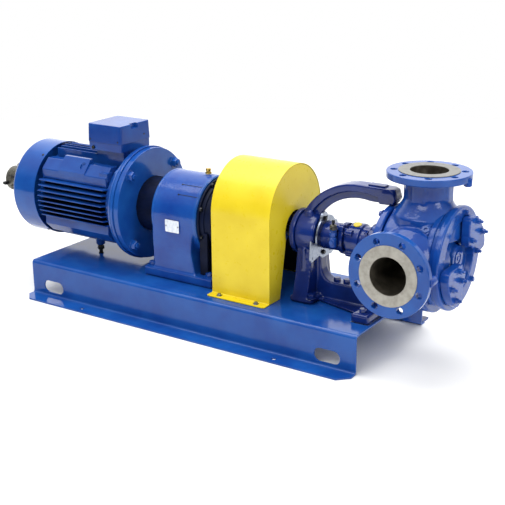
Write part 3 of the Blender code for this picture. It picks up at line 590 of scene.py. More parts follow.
# %% Bend the base
BASE_REAR, BASE_FRONT = -1.237, -0.091
WEB_Y, BRIM_Y, BASE_TOP, SHEET = 0.202, 0.255, 0.11, 0.005
TOP_BEND, LOW_BEND = 0.011, 0.006
SLOT_IN, SLOT_Z, SLOT_RADIUS, SLOT_REACH = 0.086, 0.034, 0.019, 0.0205
ANCHOR_IN, ANCHOR_Y, ANCHOR_RADIUS = 0.23, 0.2338, 0.007
BRIM_CORNER, BRIM_CORNER_Y = 0.03, 0.215


def bent_base():
    nothing_selected()
    half = [(WEB_Y, BASE_TOP), (WEB_Y, SHEET), (BRIM_Y, SHEET)]
    path = [(-y, z) for y, z in reversed(half)] + half
    bpy.ops.mesh.primitive_plane_add(size=1, location=(0, 0, 0))
    sheet = bpy.context.object
    sheet.scale = (BASE_FRONT - BASE_REAR, BRIM_Y - WEB_Y, 1)
    sheet.location = ((BASE_REAR + BASE_FRONT) / 2, -(BRIM_Y + WEB_Y) / 2, SHEET)
    bpy.ops.object.transform_apply(location=True, rotation=True, scale=True)
    for here, there in zip(path[1:], path[2:]):
        picked(sheet, lambda e: all((v.co.yz - Vector(here)).length < WELD for v in e.verts), "EDGE")
        step = (0, there[0] - here[0], there[1] - here[1])
        bpy.ops.mesh.extrude_region_move(TRANSFORM_OT_translate={"value": step})
    for height, radius in ((BASE_TOP, TOP_BEND), (SHEET, LOW_BEND)):
        picked(sheet, lambda e: len(e.link_faces) == 2 and all(abs(v.co.z - height) < WELD for v in e.verts),
               "EDGE")
        bpy.ops.mesh.bevel(offset=radius, segments=8)
    picked(sheet, lambda v: True)
    settled("base_sheet")
    return thickened(sheet, SHEET)


def base_cutters():
    """Two long slots right through, four anchor holes, and a bevel at each corner of the brim."""
    cutters = []
    ends = ((BASE_REAR, 1), (BASE_FRONT, -1))
    for end, inward in ends:
        middle = end + inward * SLOT_IN
        slot = arc((middle + SLOT_REACH, SLOT_Z), SLOT_RADIUS, -90, 90, 12)
        slot += arc((middle - SLOT_REACH, SLOT_Z), SLOT_RADIUS, 90, 270, 12)
        cutters.append(drawn("slot", slot, -0.3, 0.3, "FRONT"))
    for end, inward in ends:
        for y in (-ANCHOR_Y, ANCHOR_Y):
            rings = [(-0.01, ANCHOR_RADIUS), (0.02, ANCHOR_RADIUS)]
            cutters.append(turned("anchor hole", rings, "Z", (end + inward * ANCHOR_IN, y, 0), 24))
    for end, inward in ends:
        outer, inner = end - inward * 0.01, end + inward * BRIM_CORNER
        corner = [(outer, BRIM_CORNER_Y), (inner, BRIM_Y), (inner, 0.27), (outer, 0.27)]
        for side in (-1, 1):
            cutters.append(drawn("corner", [(x, side * y) for x, y in corner], -0.01, 0.011, "Z"))
    return cutters


base = cut(bent_base(), *base_cutters())
rounded_edges(base, 0.0006, 2, 50)
base.name = "base_sheet"
finished(base, sheet_blue, "blue_paint", ["base_frame"])

# %% [markdown]
# ## The motor
# The frame of an electric motor is cast with thin fins, because air blown along them carries its heat away.
# What catches the eye is their rhythm: rounded, light-catching edges over near-black gaps, whose dark is
# painted shade. So each fin is a real plate with a rounded edge, and its front end slopes down to the smooth
# neck before the flange, as a mould needs. The flat pads between the fins take feet or eye bolts on other
# machines and stay empty here.

# %% Make the finned frame
FINS_REAR, FINS_FRONT, FLANGE_REAR = -1.25, -0.99, -0.9385
FIN_TIPS, FRAME_CORE, FIN_PITCH = 0.147, 0.116, 0.016
FIN_HALF, FIN_ROOT, FIN_SLOPE = 0.0026, 0.006, 0.018
# The gaps between the fins get the near-black enamel as painted shade, up to this distance from the shaft
PAINTED_SHADE_BELOW = 0.1275
JACK_AT = (-1.098, -0.034, 0)


def turned_about_shaft(thing, quarter):
    """Turns a piece about the shaft by quarters."""
    select_only(thing)
    spin = Matrix.Rotation(quarter * math.pi / 2, 4, "X")
    thing.matrix_world = Matrix.Translation(ON_SHAFT) @ spin @ Matrix.Translation((0, 0, -SHAFT_Z))
    bpy.ops.object.transform_apply(location=True, rotation=True, scale=True)
    return thing


def fin(offset, quarter):
    """One fin on the front side of the frame, at this height from the shaft, then turned to its quarter."""
    tip = math.sqrt(FIN_TIPS**2 - (abs(offset) + 0.003) ** 2)
    root = math.sqrt(max(FRAME_CORE**2 - offset**2, 0.08**2)) - FIN_ROOT
    z = SHAFT_Z + offset
    plate = slab("fin", (FINS_REAR, -tip, z - FIN_HALF), (FINS_FRONT + FIN_SLOPE, -root, z + FIN_HALF))
    picked(plate, lambda v: v.co.y < -tip + WELD)
    bpy.ops.transform.resize(value=(1, 1, 0.8), center_override=(0, -tip, z))
    picked(plate, lambda v: v.co.y < -tip + WELD and v.co.x > FINS_FRONT)
    bpy.ops.transform.translate(value=(-FIN_SLOPE, 0, 0))
    bevelled(plate, lambda e: all(v.co.y < -tip + WELD for v in e.verts), 0.0017, 3)
    return turned_about_shaft(plate, quarter)


def frame_pad(quarter):
    """The solid between two combs of fins, with a flat face at 45 degrees."""
    outline = [(-0.1, 0.052), (-0.1164, 0.06), (-0.1174, 0.0885), (-0.0885, 0.1174), (-0.06, 0.1164),
               (-0.045, 0.1)]
    pad = drawn("pad", [(y, SHAFT_Z + z) for y, z in outline], FINS_REAR, FINS_FRONT, "X")
    return turned_about_shaft(rounded_edges(pad, 0.002, 2), quarter)


def lifting_lugs(side):
    """Two lugs on an upper pad: a block with a sloping back and a socket, and a smaller one in front."""
    outline = [(0.074, 0.372), (0.1175, 0.372), (0.1175, 0.388), (0.084, 0.4275), (0.074, 0.4275)]
    lug = drawn("lug", [(side * y, z) for y, z in outline], -1.18, -1.075, "X")
    socket = turned("socket", [(-0.003, 0.0075), (0.03, 0.009)], "Z", (-1.094, side * 0.1005, 0.388), 24)
    y = side * 0.0995
    small = slab("small lug", (-1.02, y - 0.013, 0.372), (-0.987, y + 0.013, 0.4005), 0.003, 3)
    return [rounded_edges(cut(lug, socket), 0.0022, 3), small]


profile = [(-1.2615, 0.118), (-1.25, 0.118), (-1.249, FRAME_CORE), (-0.998, FRAME_CORE), (-0.986, 0.129),
           (-0.939, 0.129)]
solids = [turned("core", eased(profile, 0.004))]
# The combs at the sides have eight fins each, and the narrower ones above and below six
for quarter, count in ((0, 8), (2, 8), (1, 6), (3, 6)):
    solids += [fin((i - (count - 1) / 2) * FIN_PITCH, quarter) for i in range(count)]
solids += [frame_pad(quarter) for quarter in range(4)]
solids += lifting_lugs(-1) + lifting_lugs(1)
solids.append(turned("boss", [(0.14, 0.0125), (0.142, 0.014), (0.195, 0.016)], "Z", JACK_AT, 32))
solids.append(slab("seat", (-1.083, -0.046, 0.38), (-0.975, 0.046, 0.4567), 0.004, 3))
motor = joined("motor_fins_and_core", solids, die_cast_blue, "blue_paint", ["motor_frame"])


def between_fins(face):
    x, away = face.center.x - PORT_X, math.hypot(face.center.y, face.center.z - SHAFT_Z)
    return away < PAINTED_SHADE_BELOW and abs(face.normal.x) < 0.5 and FINS_REAR < x < FINS_FRONT - 0.012


# Painted shade: the faces deep between the fins turn near black
second_finish(motor, near_black_shade_enamel, between_fins)

# %% [markdown]
# ## Motor flange, cowl and encoder
# The flange is turned from a casting, so its rim is crisp, with a shallow step that centres the next
# flange. Two bright curved lines run round it where the paint lies over its two rims. The cowl over the fan
# is pressed from sheet, which gives it one large soft corner at the back, and a gap before the frame where
# the air blows out.

# %% Make the flange with its bolts
FLANGE_X, FLANGE_R, GROOVE_R = FLANGE_REAR + 0.0175, 0.174, 0.1725
FLANGE_BOLTS = evenly(4, 45)

# A fine groove runs round the rim
profile = [(FLANGE_REAR, 0.05), (FLANGE_REAR, 0.172), (FLANGE_REAR + 0.0075, FLANGE_R),
           (FLANGE_REAR + 0.0078, GROOVE_R), (FLANGE_REAR + 0.0085, GROOVE_R), (FLANGE_REAR + 0.009, FLANGE_R),
           (FLANGE_X, FLANGE_R), (FLANGE_X, 0.05)]
flange = turned("motor_flange_rim", eased(profile, 0.0018, 2), segments=144, tube=True)
finished(flange, sheet_blue, "blue_paint", ["motor_flange"])
bolts = hex_heads(on_circle(FLANGE_REAR, 0.152, FLANGE_BOLTS), "X", 0.022, -0.012, 0.014, -0.002)
joined("motor_flange_bolts", bolts, sheet_blue, "blue_paint")

# %% Press the fan cowl
COWL_REAR, COWL_FRONT, COWL_R = -1.38, -1.262, 0.149
COWL_HOLE, COWL_LIP, VENT_R = 0.056, 0.1, 0.0036

skirt = [(-1.28, COWL_LIP), (-1.28, 0.1463), (COWL_FRONT, 0.1463), (COWL_FRONT, COWL_R)]
# The back corner is a cone between two soft bends
shoulder = eased([(-1.32, COWL_R), (COWL_REAR + 0.03, COWL_R), (COWL_REAR, COWL_R - 0.028),
                  (COWL_REAR, COWL_HOLE)],
                 0.005, 5)
profile = [(-1.2623, COWL_LIP), *skirt, *shoulder[1:], (-1.2623, COWL_HOLE)]
cowl = turned("fan_cowl_pressing", profile, segments=144, tube=True)
# The air intake: rings of round holes pressed into the back
vents = []
for ring, count in ((0.07, 22), (0.083, 26), (0.096, 30), (0.109, 34)):
    for place in on_circle(0, ring, evenly(count, 0)):
        rings = [(COWL_REAR - 0.01, VENT_R), (COWL_REAR + 0.008, VENT_R)]
        vents.append(turned("vent", rings, "X", place, 12))
finished(cut(cowl, together("vents", vents)), sheet_blue, "blue_paint", ["fan_cowl"])
screws = []
for degrees in (35, 145, 215, 325):
    low = COWL_R - 0.0052
    rings = [(low, 0.0042), (low + 0.0056, 0.0042), (low + 0.007, 0.0022)]
    screw = turned("screw", rings, "Z", (COWL_FRONT - 0.011, 0, 0), 16)
    screws.append(moved(screw, ON_SHAFT, (math.radians(degrees), 0, 0)))
joined("fan_cowl_screws", screws, black_steel, "black_steel")

# %% Fit the encoder
profile = [(-1.503, 0.036), (-1.499, 0.0405), (-1.478, 0.042), (-1.446, 0.042), (-1.4435, 0.04),
           (-1.4435, 0.035), (-1.4375, 0.035), (-1.4375, 0.04), (-1.436, 0.042), (-1.404, 0.042),
           (-1.401, 0.039), (-1.386, 0.039), (-1.3825, 0.042), (-1.3803, 0.042)]
solids = [turned("encoder_housing", eased(profile, 0.0012, 2)),
          slab("lug", (-1.4385, -0.03, 0.322), (-1.408, 0.01, 0.3385), 0.002),
          slab("side lug", (-1.476, -0.0425, 0.268), (-1.446, -0.028, 0.282), 0.002)]
joined("encoder_with_lugs", solids, dull_zinc, "bright_steel", ["rear_encoder"])
solids = [slab("lever", (-1.47, -0.0455, 0.306), (-1.42, -0.03, 0.318), 0.002),
          slab("front handle", (-1.498, -0.056, 0.284), (-1.484, -0.03, 0.294), 0.002),
          slab("top handle", (-1.47, -0.012, 0.33), (-1.456, 0.002, 0.35), 0.002)]
solids += hex_heads([(-1.461, -0.0422, 0.275)], "FRONT", 0.007, 0.003)
solids += hex_heads(on_circle(-1.5, 0.028, evenly(3, 30)), "X", 0.008, -0.0026)
joined("encoder_lever_and_screws", solids, black_steel, "black_steel")

# %% [markdown]
# ## Terminal box
# The cables end in a box cast in two halves. Its lid has soft edges and tapers a little to the top, and a
# thin dark line runs round the box where the halves meet. Each end of the lid has a small notch. The two
# cable entries on the back are closed by plugs.

# %% Make the terminal box
LID_TOP, LID_TAPER = 0.536, 0.975


def upright(edge):
    return abs(edge.verts[0].co.z - edge.verts[1].co.z) > 0.01


def near_top(vertex):
    return vertex.co.z > LID_TOP - 0.006


lid = slab("terminal_box_cover", (-1.095, -0.072, 0.4812), (-0.963, 0.072, LID_TOP))
picked(lid, near_top)
bpy.ops.transform.resize(value=(LID_TAPER, LID_TAPER, 1), center_override=(-1.029, 0, LID_TOP))
bevelled(lid, upright, 0.009, 4)
bevelled(lid, lambda edge: all(near_top(v) for v in edge.verts), 0.0025, 3)
notches = [slab("front notch", (-0.975, -0.02, 0.522), (-0.95, 0.012, 0.54)),
           slab("rear notch", (-1.11, -0.055, 0.522), (-1.086, -0.038, 0.529))]
finished(cut(lid, *notches), die_cast_blue, "blue_paint", ["terminal_box_lid"])
neck = slab("terminal_box_base", (-1.0935, -0.0705, 0.457), (-0.9645, 0.0705, 0.4806))
bevelled(neck, upright, 0.008, 4)
finished(neck, die_cast_blue, "blue_paint", ["terminal_box"])
solids = [turned("head", [(0, 0.0038), (0.0018, 0.0038), (0.0028, 0.002)], "X", (-0.9655, 0.04, 0.497), 16)]
for x in (-1.083, -0.975):
    rings = [(-0.003, 0.0036), (0.001, 0.0036), (0.0016, 0.002)]
    solids.append(turned("head", rings, "FRONT", (x, -0.0705, 0.4885), 16))
solids += hex_heads([(-1.072, -0.07, 0.464)], "FRONT", 0.01, 0.005)
joined("terminal_box_screws", solids, black_steel, "black_steel")
for end, x in (("rear", -1.055), ("front", -1.003)):
    profile = eased([(0.0, 0.0105), (0.006, 0.0105), (0.0062, 0.008), (0.009, 0.0075)], 0.0008, 2)
    entry = turned("collar", profile, "BACK", (x, 0.0708, 0.469), 32)
    finished(entry, black_plastic, "black_steel", [f"cable_entry_plug_{end}"])

# %% [markdown]
# ## Jack bolt
# A bolt under the rear of the motor carries its weight, because a motor hung from its flange alone would
# bend the gearbox. It has a lock nut half way up.

# %% Make the jack bolt
profile = eased([(0.1103, 0.008), (0.1133, 0.008), (0.1135, 0.006), (0.1395, 0.006)], 0.0006, 2)
nut_profile = [(0.1235, 0.01), (0.125, 0.011), (0.134, 0.011), (0.1355, 0.01)]
solids = [turned("thread", profile, "Z", JACK_AT, 24), turned("nut", nut_profile, "Z", JACK_AT, 6)]
joined("jack_bolt_with_nut", solids, black_steel, "black_steel", ["motor_jack_bolt"])

# %% [markdown]
# ## Gearbox
# A helical gearbox is a cast barrel on two legs, and its legs and barrel are one flat wall outside.
# Castings like this have no sharp inner corner anywhere, because iron would crack there. Running the plain
# solids together in one remesh gives that for free: the smoothing rounds every corner by the same few
# millimetres as the real mould. The flanges are machined afterwards, so they are added as crisp turned
# rims.

# %% Cast the gearbox housing
BOX_REAR, BOX_FRONT, BARREL_R, WALL_Y, FOOT_TOP = -0.82, -0.66, 0.117, 0.116, 0.14
BREATHER_X = -0.694

legs = [(-0.8165, 0.128), (-0.6635, 0.128), (-0.672, 0.165), (-0.68, 0.205), (-0.677, 0.245),
        (-0.664, 0.296), (-0.8185, 0.296), (-0.8195, 0.24), (-0.8185, 0.165)]
solids = [turned("barrel", [(BOX_REAR + 0.001, BARREL_R), (BOX_FRONT - 0.001, BARREL_R)]),
          drawn("legs", legs, -WALL_Y, WALL_Y, "FRONT"),
          slab("foot", (-0.849, -0.1205, 0.1115), (-0.606, 0.1205, FOOT_TOP - 0.001)),
          slab("rear step", (-0.849, -0.08, 0.13), (-0.826, 0.08, 0.15)),
          turned("boss", [(0.35, 0.016), (0.414, 0.0135)], "Z", (BREATHER_X, 0, 0), 32)]
housing = cast(together("gearbox_casting", solids), 0.003, 6)
finished(housing, cast_blue, "blue_paint", ["gearbox_housing"], even=False)

# %% Add its rims, screws and plugs
front_lip = [(BOX_FRONT - 0.012, 0.112), (BOX_FRONT - 0.0115, 0.1176), (BOX_FRONT - 0.004, 0.1178),
             (BOX_FRONT - 0.0002, 0.115)]
rear_lip = [(BOX_REAR + 0.0002, 0.116), (BOX_REAR + 0.002, 0.1178), (BOX_REAR + 0.009, 0.1176),
            (BOX_REAR + 0.0095, 0.112)]
rims = [turned("lip", eased(profile, 0.001, 2), segments=144) for profile in (front_lip, rear_lip)]
joined("gearbox_rims", rims, sheet_blue, "blue_paint")
places = [(x, y, FOOT_TOP - 0.0015) for x in (-0.836, -0.628) for y in (-0.098, 0.098)]
joined("gearbox_foot_bolts", hex_heads(places, "Z", 0.018, 0.0095, 0.0155, 0.002), cast_blue, "blue_paint")
marks = []
for x, degrees in ((-0.738, 35), (-0.735, 52)):
    # A black strip along the barrel is painted shade for a fine groove, and it starts at a small plug
    groove = slab("groove", (x, -0.0007, BARREL_R - 0.001), (-0.664, 0.0007, BARREL_R + 0.0007))
    plug = turned("plug", [(BARREL_R - 0.001, 0.0026), (BARREL_R + 0.0012, 0.0024)], "Z", (x, 0, 0), 16)
    marks += [moved(thing, ON_SHAFT, (math.radians(degrees), 0, 0)) for thing in (groove, plug)]
joined("gearbox_barrel_marks", marks, black_steel, "black_steel")
profile = [(0.4163, 0.008), (0.4165, 0.009), (0.4213, 0.009), (0.4215, 0.006), (0.424, 0.006),
           (0.4243, 0.0078), (0.43, 0.008), (0.4315, 0.007)]
solids = [turned("body", eased(profile, 0.0008, 2), "Z", (BREATHER_X, 0, 0), 32),
          turned("hexagon", [(0.4165, 0.0095), (0.4205, 0.0095)], "Z", (BREATHER_X, 0, 0), 6)]
joined("brass_breather", solids, brass, "brass", ["breather_plug"])


def across_plate(edge):
    return abs(edge.verts[0].co.y - edge.verts[1].co.y) > 0.001


plate = slab("blank_label", (-0.767, -0.11985, 0.259), (-0.717, -0.1183, 0.296))
plate = rounded_edges(bevelled(plate, across_plate, 0.003, 4), 0.0003, 2)
finished(plate, label_metal, "label_metal", ["gearbox_nameplate"])
pins = [turned("pin", [(0.119, 0.0022), (0.1206, 0.0022), (0.121, 0.0012)], "FRONT", (x, 0, 0.2775), 12)
        for x in (-0.7635, -0.7205)]
joined("label_pins", pins, turned_steel, "bright_steel")
drain_at = (-0.742, 0, 0.165)
solids = [turned("collar", [(0.118, 0.013), (0.1215, 0.013)], "BACK", drain_at, 32),
          turned("hexagon", [(0.12, 0.01), (0.1242, 0.01), (0.1253, 0.009)], "BACK", drain_at, 6)]
joined("oil_drain_plug", solids, turned_steel, "bright_steel", ["gearbox_oil_plug"])

# %% [markdown]
# ## Adapter and output cover
# Between the motor's flange and the gearbox sits a bell: a wide flange towards the motor, and a neck behind
# it that joins the barrel. The output cover on the other side is stepped and has ribs under it that carry
# the shaft's load into the foot. It stands in the guard's shadow, where only a dark sheen shows its rings.
# The neck and the output cover get the near-black enamel as painted shade.

# %% Turn the adapter and the output cover
ADAPTER_X, ADAPTER_R, ADAPTER_BORE = FLANGE_X + 0.0003, 0.17, 0.06
ADAPTER_FRONT = ADAPTER_X + 0.0175
COVER_BORE, RIB_REACH = 0.0265, 0.1025

profile = [(ADAPTER_X, 0.07), (ADAPTER_X, ADAPTER_R), (ADAPTER_FRONT, ADAPTER_R), (ADAPTER_FRONT, 0.07)]
rim = turned("adapter_rim", eased(profile, 0.0022, 3), segments=144, tube=True)
finished(rim, sheet_blue, "blue_paint", ["gearbox_adapter"])
profile = [(ADAPTER_X + 0.01, ADAPTER_BORE), (ADAPTER_X + 0.01, 0.084), (ADAPTER_X + 0.03, 0.084),
           (-0.8445, 0.084), (-0.8325, 0.0975), (-0.832, 0.1035), (-0.8205, 0.1035), (-0.8205, ADAPTER_BORE)]
neck = turned("adapter_neck", eased(profile, 0.0015, 3), segments=128, tube=True)
# The neck's near-black enamel is painted shade, for the gearbox's shadow on the flange
finished(neck, near_black_shade_enamel, "blue_paint", ["gearbox_adapter"])
places = on_circle(ADAPTER_FRONT - 0.001, 0.15, FLANGE_BOLTS)
joined("adapter_bolts", hex_heads(places, "X", 0.026, 0.014, 0.0175, 0.0025, 0.006), sheet_blue, "blue_paint")

steps = [(0.0004, COVER_BORE), (0.0004, 0.1125), (0.0075, 0.1125), (0.008, 0.104), (0.018, 0.1032),
         (0.019, 0.0985), (0.036, 0.0965), (0.047, 0.086), (0.05, 0.07), (0.0585, 0.062), (0.0595, 0.046),
         (0.0595, COVER_BORE)]
profile = eased([(BOX_FRONT + x, radius) for x, radius in steps], 0.0025, 3)
solids = [turned("cover", profile, segments=128, tube=True)]
for y in (-0.094, -0.066, -0.038, 0.038, 0.066, 0.094):
    # Each rib runs from the cover down to the top of the foot
    top = SHAFT_Z - math.sqrt(RIB_REACH**2 - y**2) + 0.012
    solids.append(slab("rib", (-0.6597, y - 0.005, FOOT_TOP - 0.0015), (-0.632, y + 0.005, top), 0.002))
# The cover's and ribs' near-black enamel is painted shade, for the guard's shadow
joined("output_cover_with_ribs", solids, near_black_shade_enamel, "blue_paint", ["gearbox_output_cover"])
heads = hex_heads(on_circle(BOX_FRONT + 0.0075, 0.1085, evenly(8, 22.5)), "X", 0.01, 0.006)
joined("output_cover_bolts", heads, black_steel, "black_steel")

# %% [markdown]
# ## Coupling guard
# The guard is an arch folded from 3 mm sheet, powder coated safety yellow, with two thin end plates inside
# its edges. Only the edge of a sheet tells how thick it is, so the sheet here has its true thickness and a
# barely rounded edge. Its feet turn outwards and are screwed to the base. Inside it is painted near black, as
# painted shade.

# %% Fold the guard
GUARD_REAR, GUARD_FRONT, GUARD_Y, ARCH_Z, GUARD_SHEET = -0.588, -0.395, 0.139, 0.344, 0.003
GUARD_BRIM, PLATE_SHEET = 0.169, 0.002
# What stands on the base starts this high, a hair above its top
ON_BASE = BASE_TOP + 0.0003


def guard_shell():
    """A strip of sheet: its section, drawn as a line, is extruded along the machine and then thickened."""
    nothing_selected()
    foot = ON_BASE + GUARD_SHEET
    line = [(-GUARD_BRIM, foot), (-GUARD_Y, foot), *arc((0, ARCH_Z), GUARD_Y, 180, 0, 64), (GUARD_Y, foot),
            (GUARD_BRIM, foot)]
    line_of_points([(GUARD_REAR, y, z) for y, z in line])
    bpy.ops.mesh.extrude_region_move(TRANSFORM_OT_translate={"value": (GUARD_FRONT - GUARD_REAR, 0, 0)})
    shell = bpy.context.object
    picked(shell, lambda e: all(abs(abs(v.co.y) - GUARD_Y) < WELD and v.co.z < foot + 0.001 for v in e.verts),
           "EDGE")
    bpy.ops.mesh.bevel(offset=0.0025, segments=4)
    settled("guard_arch")
    return thickened(shell, GUARD_SHEET)


def brim_corners():
    """Cutters for the small bevels at the four corners of the brim."""
    for x, inward in ((GUARD_REAR, 1), (GUARD_FRONT, -1)):
        for side in (-1, 1):
            outer, inner = x - inward * 0.001, x + inward * 0.006
            outline = [(outer, 0.163), (inner, 0.1695), (inner, 0.175), (outer, 0.175)]
            yield drawn("corner", [(a, side * b) for a, b in outline], ON_BASE - 0.001, ON_BASE + 0.005, "Z")


def inside_arch(face):
    beside, above = abs(face.center.y), face.center.z - ARCH_Z
    return (math.hypot(beside, above) if above > 0 else beside) < GUARD_Y - 0.0025


shell = rounded_edges(cut(guard_shell(), *brim_corners()), 0.0007, 2, 50)
# The faces inside the arch get the near-black paint as painted shade
second_finish(finished(shell, guard_yellow, "yellow_paint", ["guard_shell"]), guard_inside_shade_black, inside_arch)
edge, bottom = GUARD_Y - 0.0033, ON_BASE + 0.001
for name, node, x, throat, foot in (
    ("guard_rear_plate", "guard_end_gearbox", GUARD_REAR + 0.0004, 0.112, 0.122),
    ("guard_front_plate", "guard_end_pump", GUARD_FRONT - 0.0004 - PLATE_SHEET, 0.055, 0.083),
):
    outline = [(-edge, bottom), *arc((0, ARCH_Z), edge, 180, 0, 64), (edge, bottom), (foot, bottom),
               *arc((0, SHAFT_Z), throat, -20, 200, 32), (-foot, bottom)]
    plate = rounded_edges(drawn(name, outline, x, x + PLATE_SHEET, "X"), 0.0004, 2, 50)
    finished(plate, guard_yellow, "yellow_paint", [node])
places = [(x, y, ON_BASE + GUARD_SHEET - 0.0002) for x in (-0.553, -0.43) for y in (-0.154, 0.154)]
joined("guard_foot_screws", hex_heads(places, "Z", 0.01, 0.005, 0.0085, 0.0014), zinc, "zinc_plate")

# %% [markdown]
# ## Coupling and shafts
# Inside the guard two hubs grip the shafts, and a rubber star between their claws takes up small errors of
# line. These pieces turn, so they ride on the drive line. The claws are real, because they show from below.

# %% Turn the coupling
MIDDLE, STAR_HALF = -0.492, 0.0062
CLAWS, HUB_R, HUB_RIM = 3, 0.0435, 0.057


def hub(name, node, sign, bore):
    """A hub with a wide rim towards the middle, its claws, and the screw that holds it on its shaft."""
    steps = [(0.0085, bore), (0.0085, HUB_RIM), (0.026, HUB_RIM), (0.0265, HUB_R), (0.06, HUB_R),
             (0.06, bore)]
    profile = [(MIDDLE + sign * x, radius) for x, radius in steps]
    solids = [turned("hub", eased(profile, 0.0015, 3), tube=True)]
    low, high = sorted((MIDDLE - sign * 0.0065, MIDDLE + sign * 0.01))
    # The claws of one hub stand between those of the other
    for first in evenly(CLAWS, 60 if sign > 0 else 0):
        outline = arc((0, SHAFT_Z), 0.0568, first - 24, first + 24, 8)
        outline += arc((0, SHAFT_Z), 0.032, first + 24, first - 24, 6)
        solids.append(rounded_edges(drawn("claw", outline, low, high, "X"), 0.0012, 2))
    rings = [(0.036, 0.004), (0.0438, 0.004), (0.0446, 0.003)]
    solids.append(turned("set screw", rings, "Z", (MIDDLE + sign * 0.044, 0, SHAFT_Z), 16))
    joined(name, solids, cast_blue, "blue_paint", [node], body="drive_line")


def shaft(name, node, rear, front, radius, steps=()):
    """A ground shaft with chamfered ends and, where steps are given, shallow shoulders."""
    rear_end = [(rear, radius - 0.0015), (rear + 0.0015, radius)]
    front_end = [(front - 0.0015, radius), (front, radius - 0.0015)]
    bar = turned(name, [*rear_end, *steps, *front_end], segments=64)
    finished(bar, turned_steel, "bright_steel", [node], body="drive_line")


hub("hub_on_gearbox", "coupling_hub_gearbox", -1, 0.0255)
hub("hub_on_pump", "coupling_hub_pump", 1, 0.0205)
arms = []
for first in evenly(2 * CLAWS, 30):
    outline = arc((0, SHAFT_Z), 0.0545, first - 5.2, first + 5.2, 3)
    outline += arc((0, SHAFT_Z), 0.02, first + 14, first - 14, 3)
    arm = drawn("arm", outline, MIDDLE - STAR_HALF, MIDDLE + STAR_HALF, "X")
    arms.append(rounded_edges(arm, 0.0016, 2))
rear, front = MIDDLE - STAR_HALF, MIDDLE + STAR_HALF
profile = eased([(rear, 0.016), (rear, 0.031), (front, 0.031), (front, 0.016)], 0.001, 2)
solids = [turned("ring", profile, tube=True), *arms]
joined("rubber_star", solids, rubber, "rubber", ["coupling_spider"], body="drive_line")
shaft("gearbox_shaft", "gearbox_output_shaft", -0.654, -0.518, 0.025)
groove = [(-0.398, 0.02), (-0.397, 0.0193), (-0.396, 0.0193), (-0.395, 0.02)]
shaft("pump_drive_shaft", "pump_shaft", -0.466, -0.11, 0.02, groove)

# %% [markdown]
# ## Bearing bracket
# The bracket is one casting: a barrel for the shaft's bearing, a flared pedestal, a rail below and an arch
# above that hold the pump in line. Everything on it is rounded, since it is cast in sand and painted
# thickly. Its plain solids run together in one remesh, and the smoothing gives the fillets. What a machine
# cut afterwards, such as the covers and the bolts' seats, is added crisp.

# %% Cast the bracket
SHAFT_BORE = 0.0208
ARCH_CENTRE, ARCH_R = (-0.19, 0.268), 0.1885


def smooth_curve(points, steps):
    """Points on one soft curve that runs through all the given ones, by Catmull and Rom's rule."""
    ends = [points[0], *points, points[-1]]
    curve = []
    for a, b, c, d in zip(ends, ends[1:], ends[2:], ends[3:]):
        for step in range(steps):
            t = step / steps
            curve.append(tuple(0.5 * (2 * b[i] + (c[i] - a[i]) * t
                                      + (2 * a[i] - 5 * b[i] + 4 * c[i] - d[i]) * t * t
                                      + (3 * b[i] - a[i] - 3 * c[i] + d[i]) * t**3) for i in range(2)))
    return [*curve, points[-1]]


flare = [(-0.0795, ON_BASE + 0.004), (-0.068, 0.145), (-0.056, 0.2), (-0.047, 0.262), (-0.045, 0.31)]
flare = smooth_curve(flare, 6)
pedestal = flare + [(-y, z) for y, z in reversed(flare)]
web = [(-0.33, ON_BASE + 0.004), (-0.149, ON_BASE + 0.004), (-0.149, 0.167),
       *arc((-0.262, 0.207), 0.04, -90, -180, 10), (-0.305, 0.27), (-0.33, 0.27)]
ledge = [(-0.3, -0.036), (-0.149, -0.077), (-0.149, 0.077), (-0.3, 0.036)]
# The arch is a thin web under a wide flange, and its head drops behind the pump's rear cover
outer = arc(ARCH_CENTRE, ARCH_R, 156, 90, 24)
outer += [(-0.098, 0.4555), (-0.086, 0.444), (-0.082, 0.428), (-0.088, 0.415)]
arch_web = [*outer, (-0.126, 0.412), *arc(ARCH_CENTRE, ARCH_R - 0.041, 78, 148, 20), (-0.322, 0.332),
            (-0.361, 0.327)]
arch_flange = [*outer, (-0.128, 0.412), (-0.134, 0.432), *arc(ARCH_CENTRE, ARCH_R - 0.0195, 76, 152, 24)]
solids = [turned("barrel", [(-0.3655, 0.058), (-0.36, 0.0595), (-0.312, 0.0595), (-0.3065, 0.055)]),
          turned("nose", [(-0.32, 0.0385), (-0.252, 0.0385), (-0.2465, 0.036)]),
          drawn("pedestal", pedestal, -0.362, -0.315, "X"),
          drawn("web", web, -0.0185, 0.0185, "FRONT"),
          slab("head", (-0.13, -0.0245, 0.413), (-0.084, 0.0245, 0.4555), 0.01, 3),
          drawn("arch web", arch_web, -0.0105, 0.0105, "FRONT"),
          drawn("arch flange", arch_flange, -0.0235, 0.0235, "FRONT"),
          slab("foot", (-0.371, -0.077, ON_BASE + 0.0004), (-0.297, 0.077, 0.1275), 0.01, 3),
          drawn("ledge", ledge, ON_BASE + 0.002, 0.1175, "Z"),
          slab("block", (-0.151, -0.124, ON_BASE + 0.0004), (-0.099, 0.124, 0.1355), 0.005),
          slab("riser", (-0.15, -0.049, 0.125), (-0.107, 0.049, 0.177))]
for side, direction in ((-1, "FRONT"), (1, "BACK")):
    # A rib runs down each flank of the pedestal, and a small boss stands at each side of the arch's root
    solids.append(slab("rib", (-0.343, side * 0.05 - 0.006, 0.125), (-0.333, side * 0.05 + 0.006, 0.262)))
    solids.append(turned("root boss", [(0.018, 0.013), (0.031, 0.011)], direction, (-0.337, 0, 0.352), 24))
bracket = cast(together("bracket_casting", solids), 0.0023, 7)
cut(bracket, turned("shaft way", [(-0.4, SHAFT_BORE), (-0.2, SHAFT_BORE)], segments=64))
# The bracket's darker navy enamel is painted shade
finished(bracket, navy_painted_shade, "navy_paint", ["bearing_bracket"], even=False)

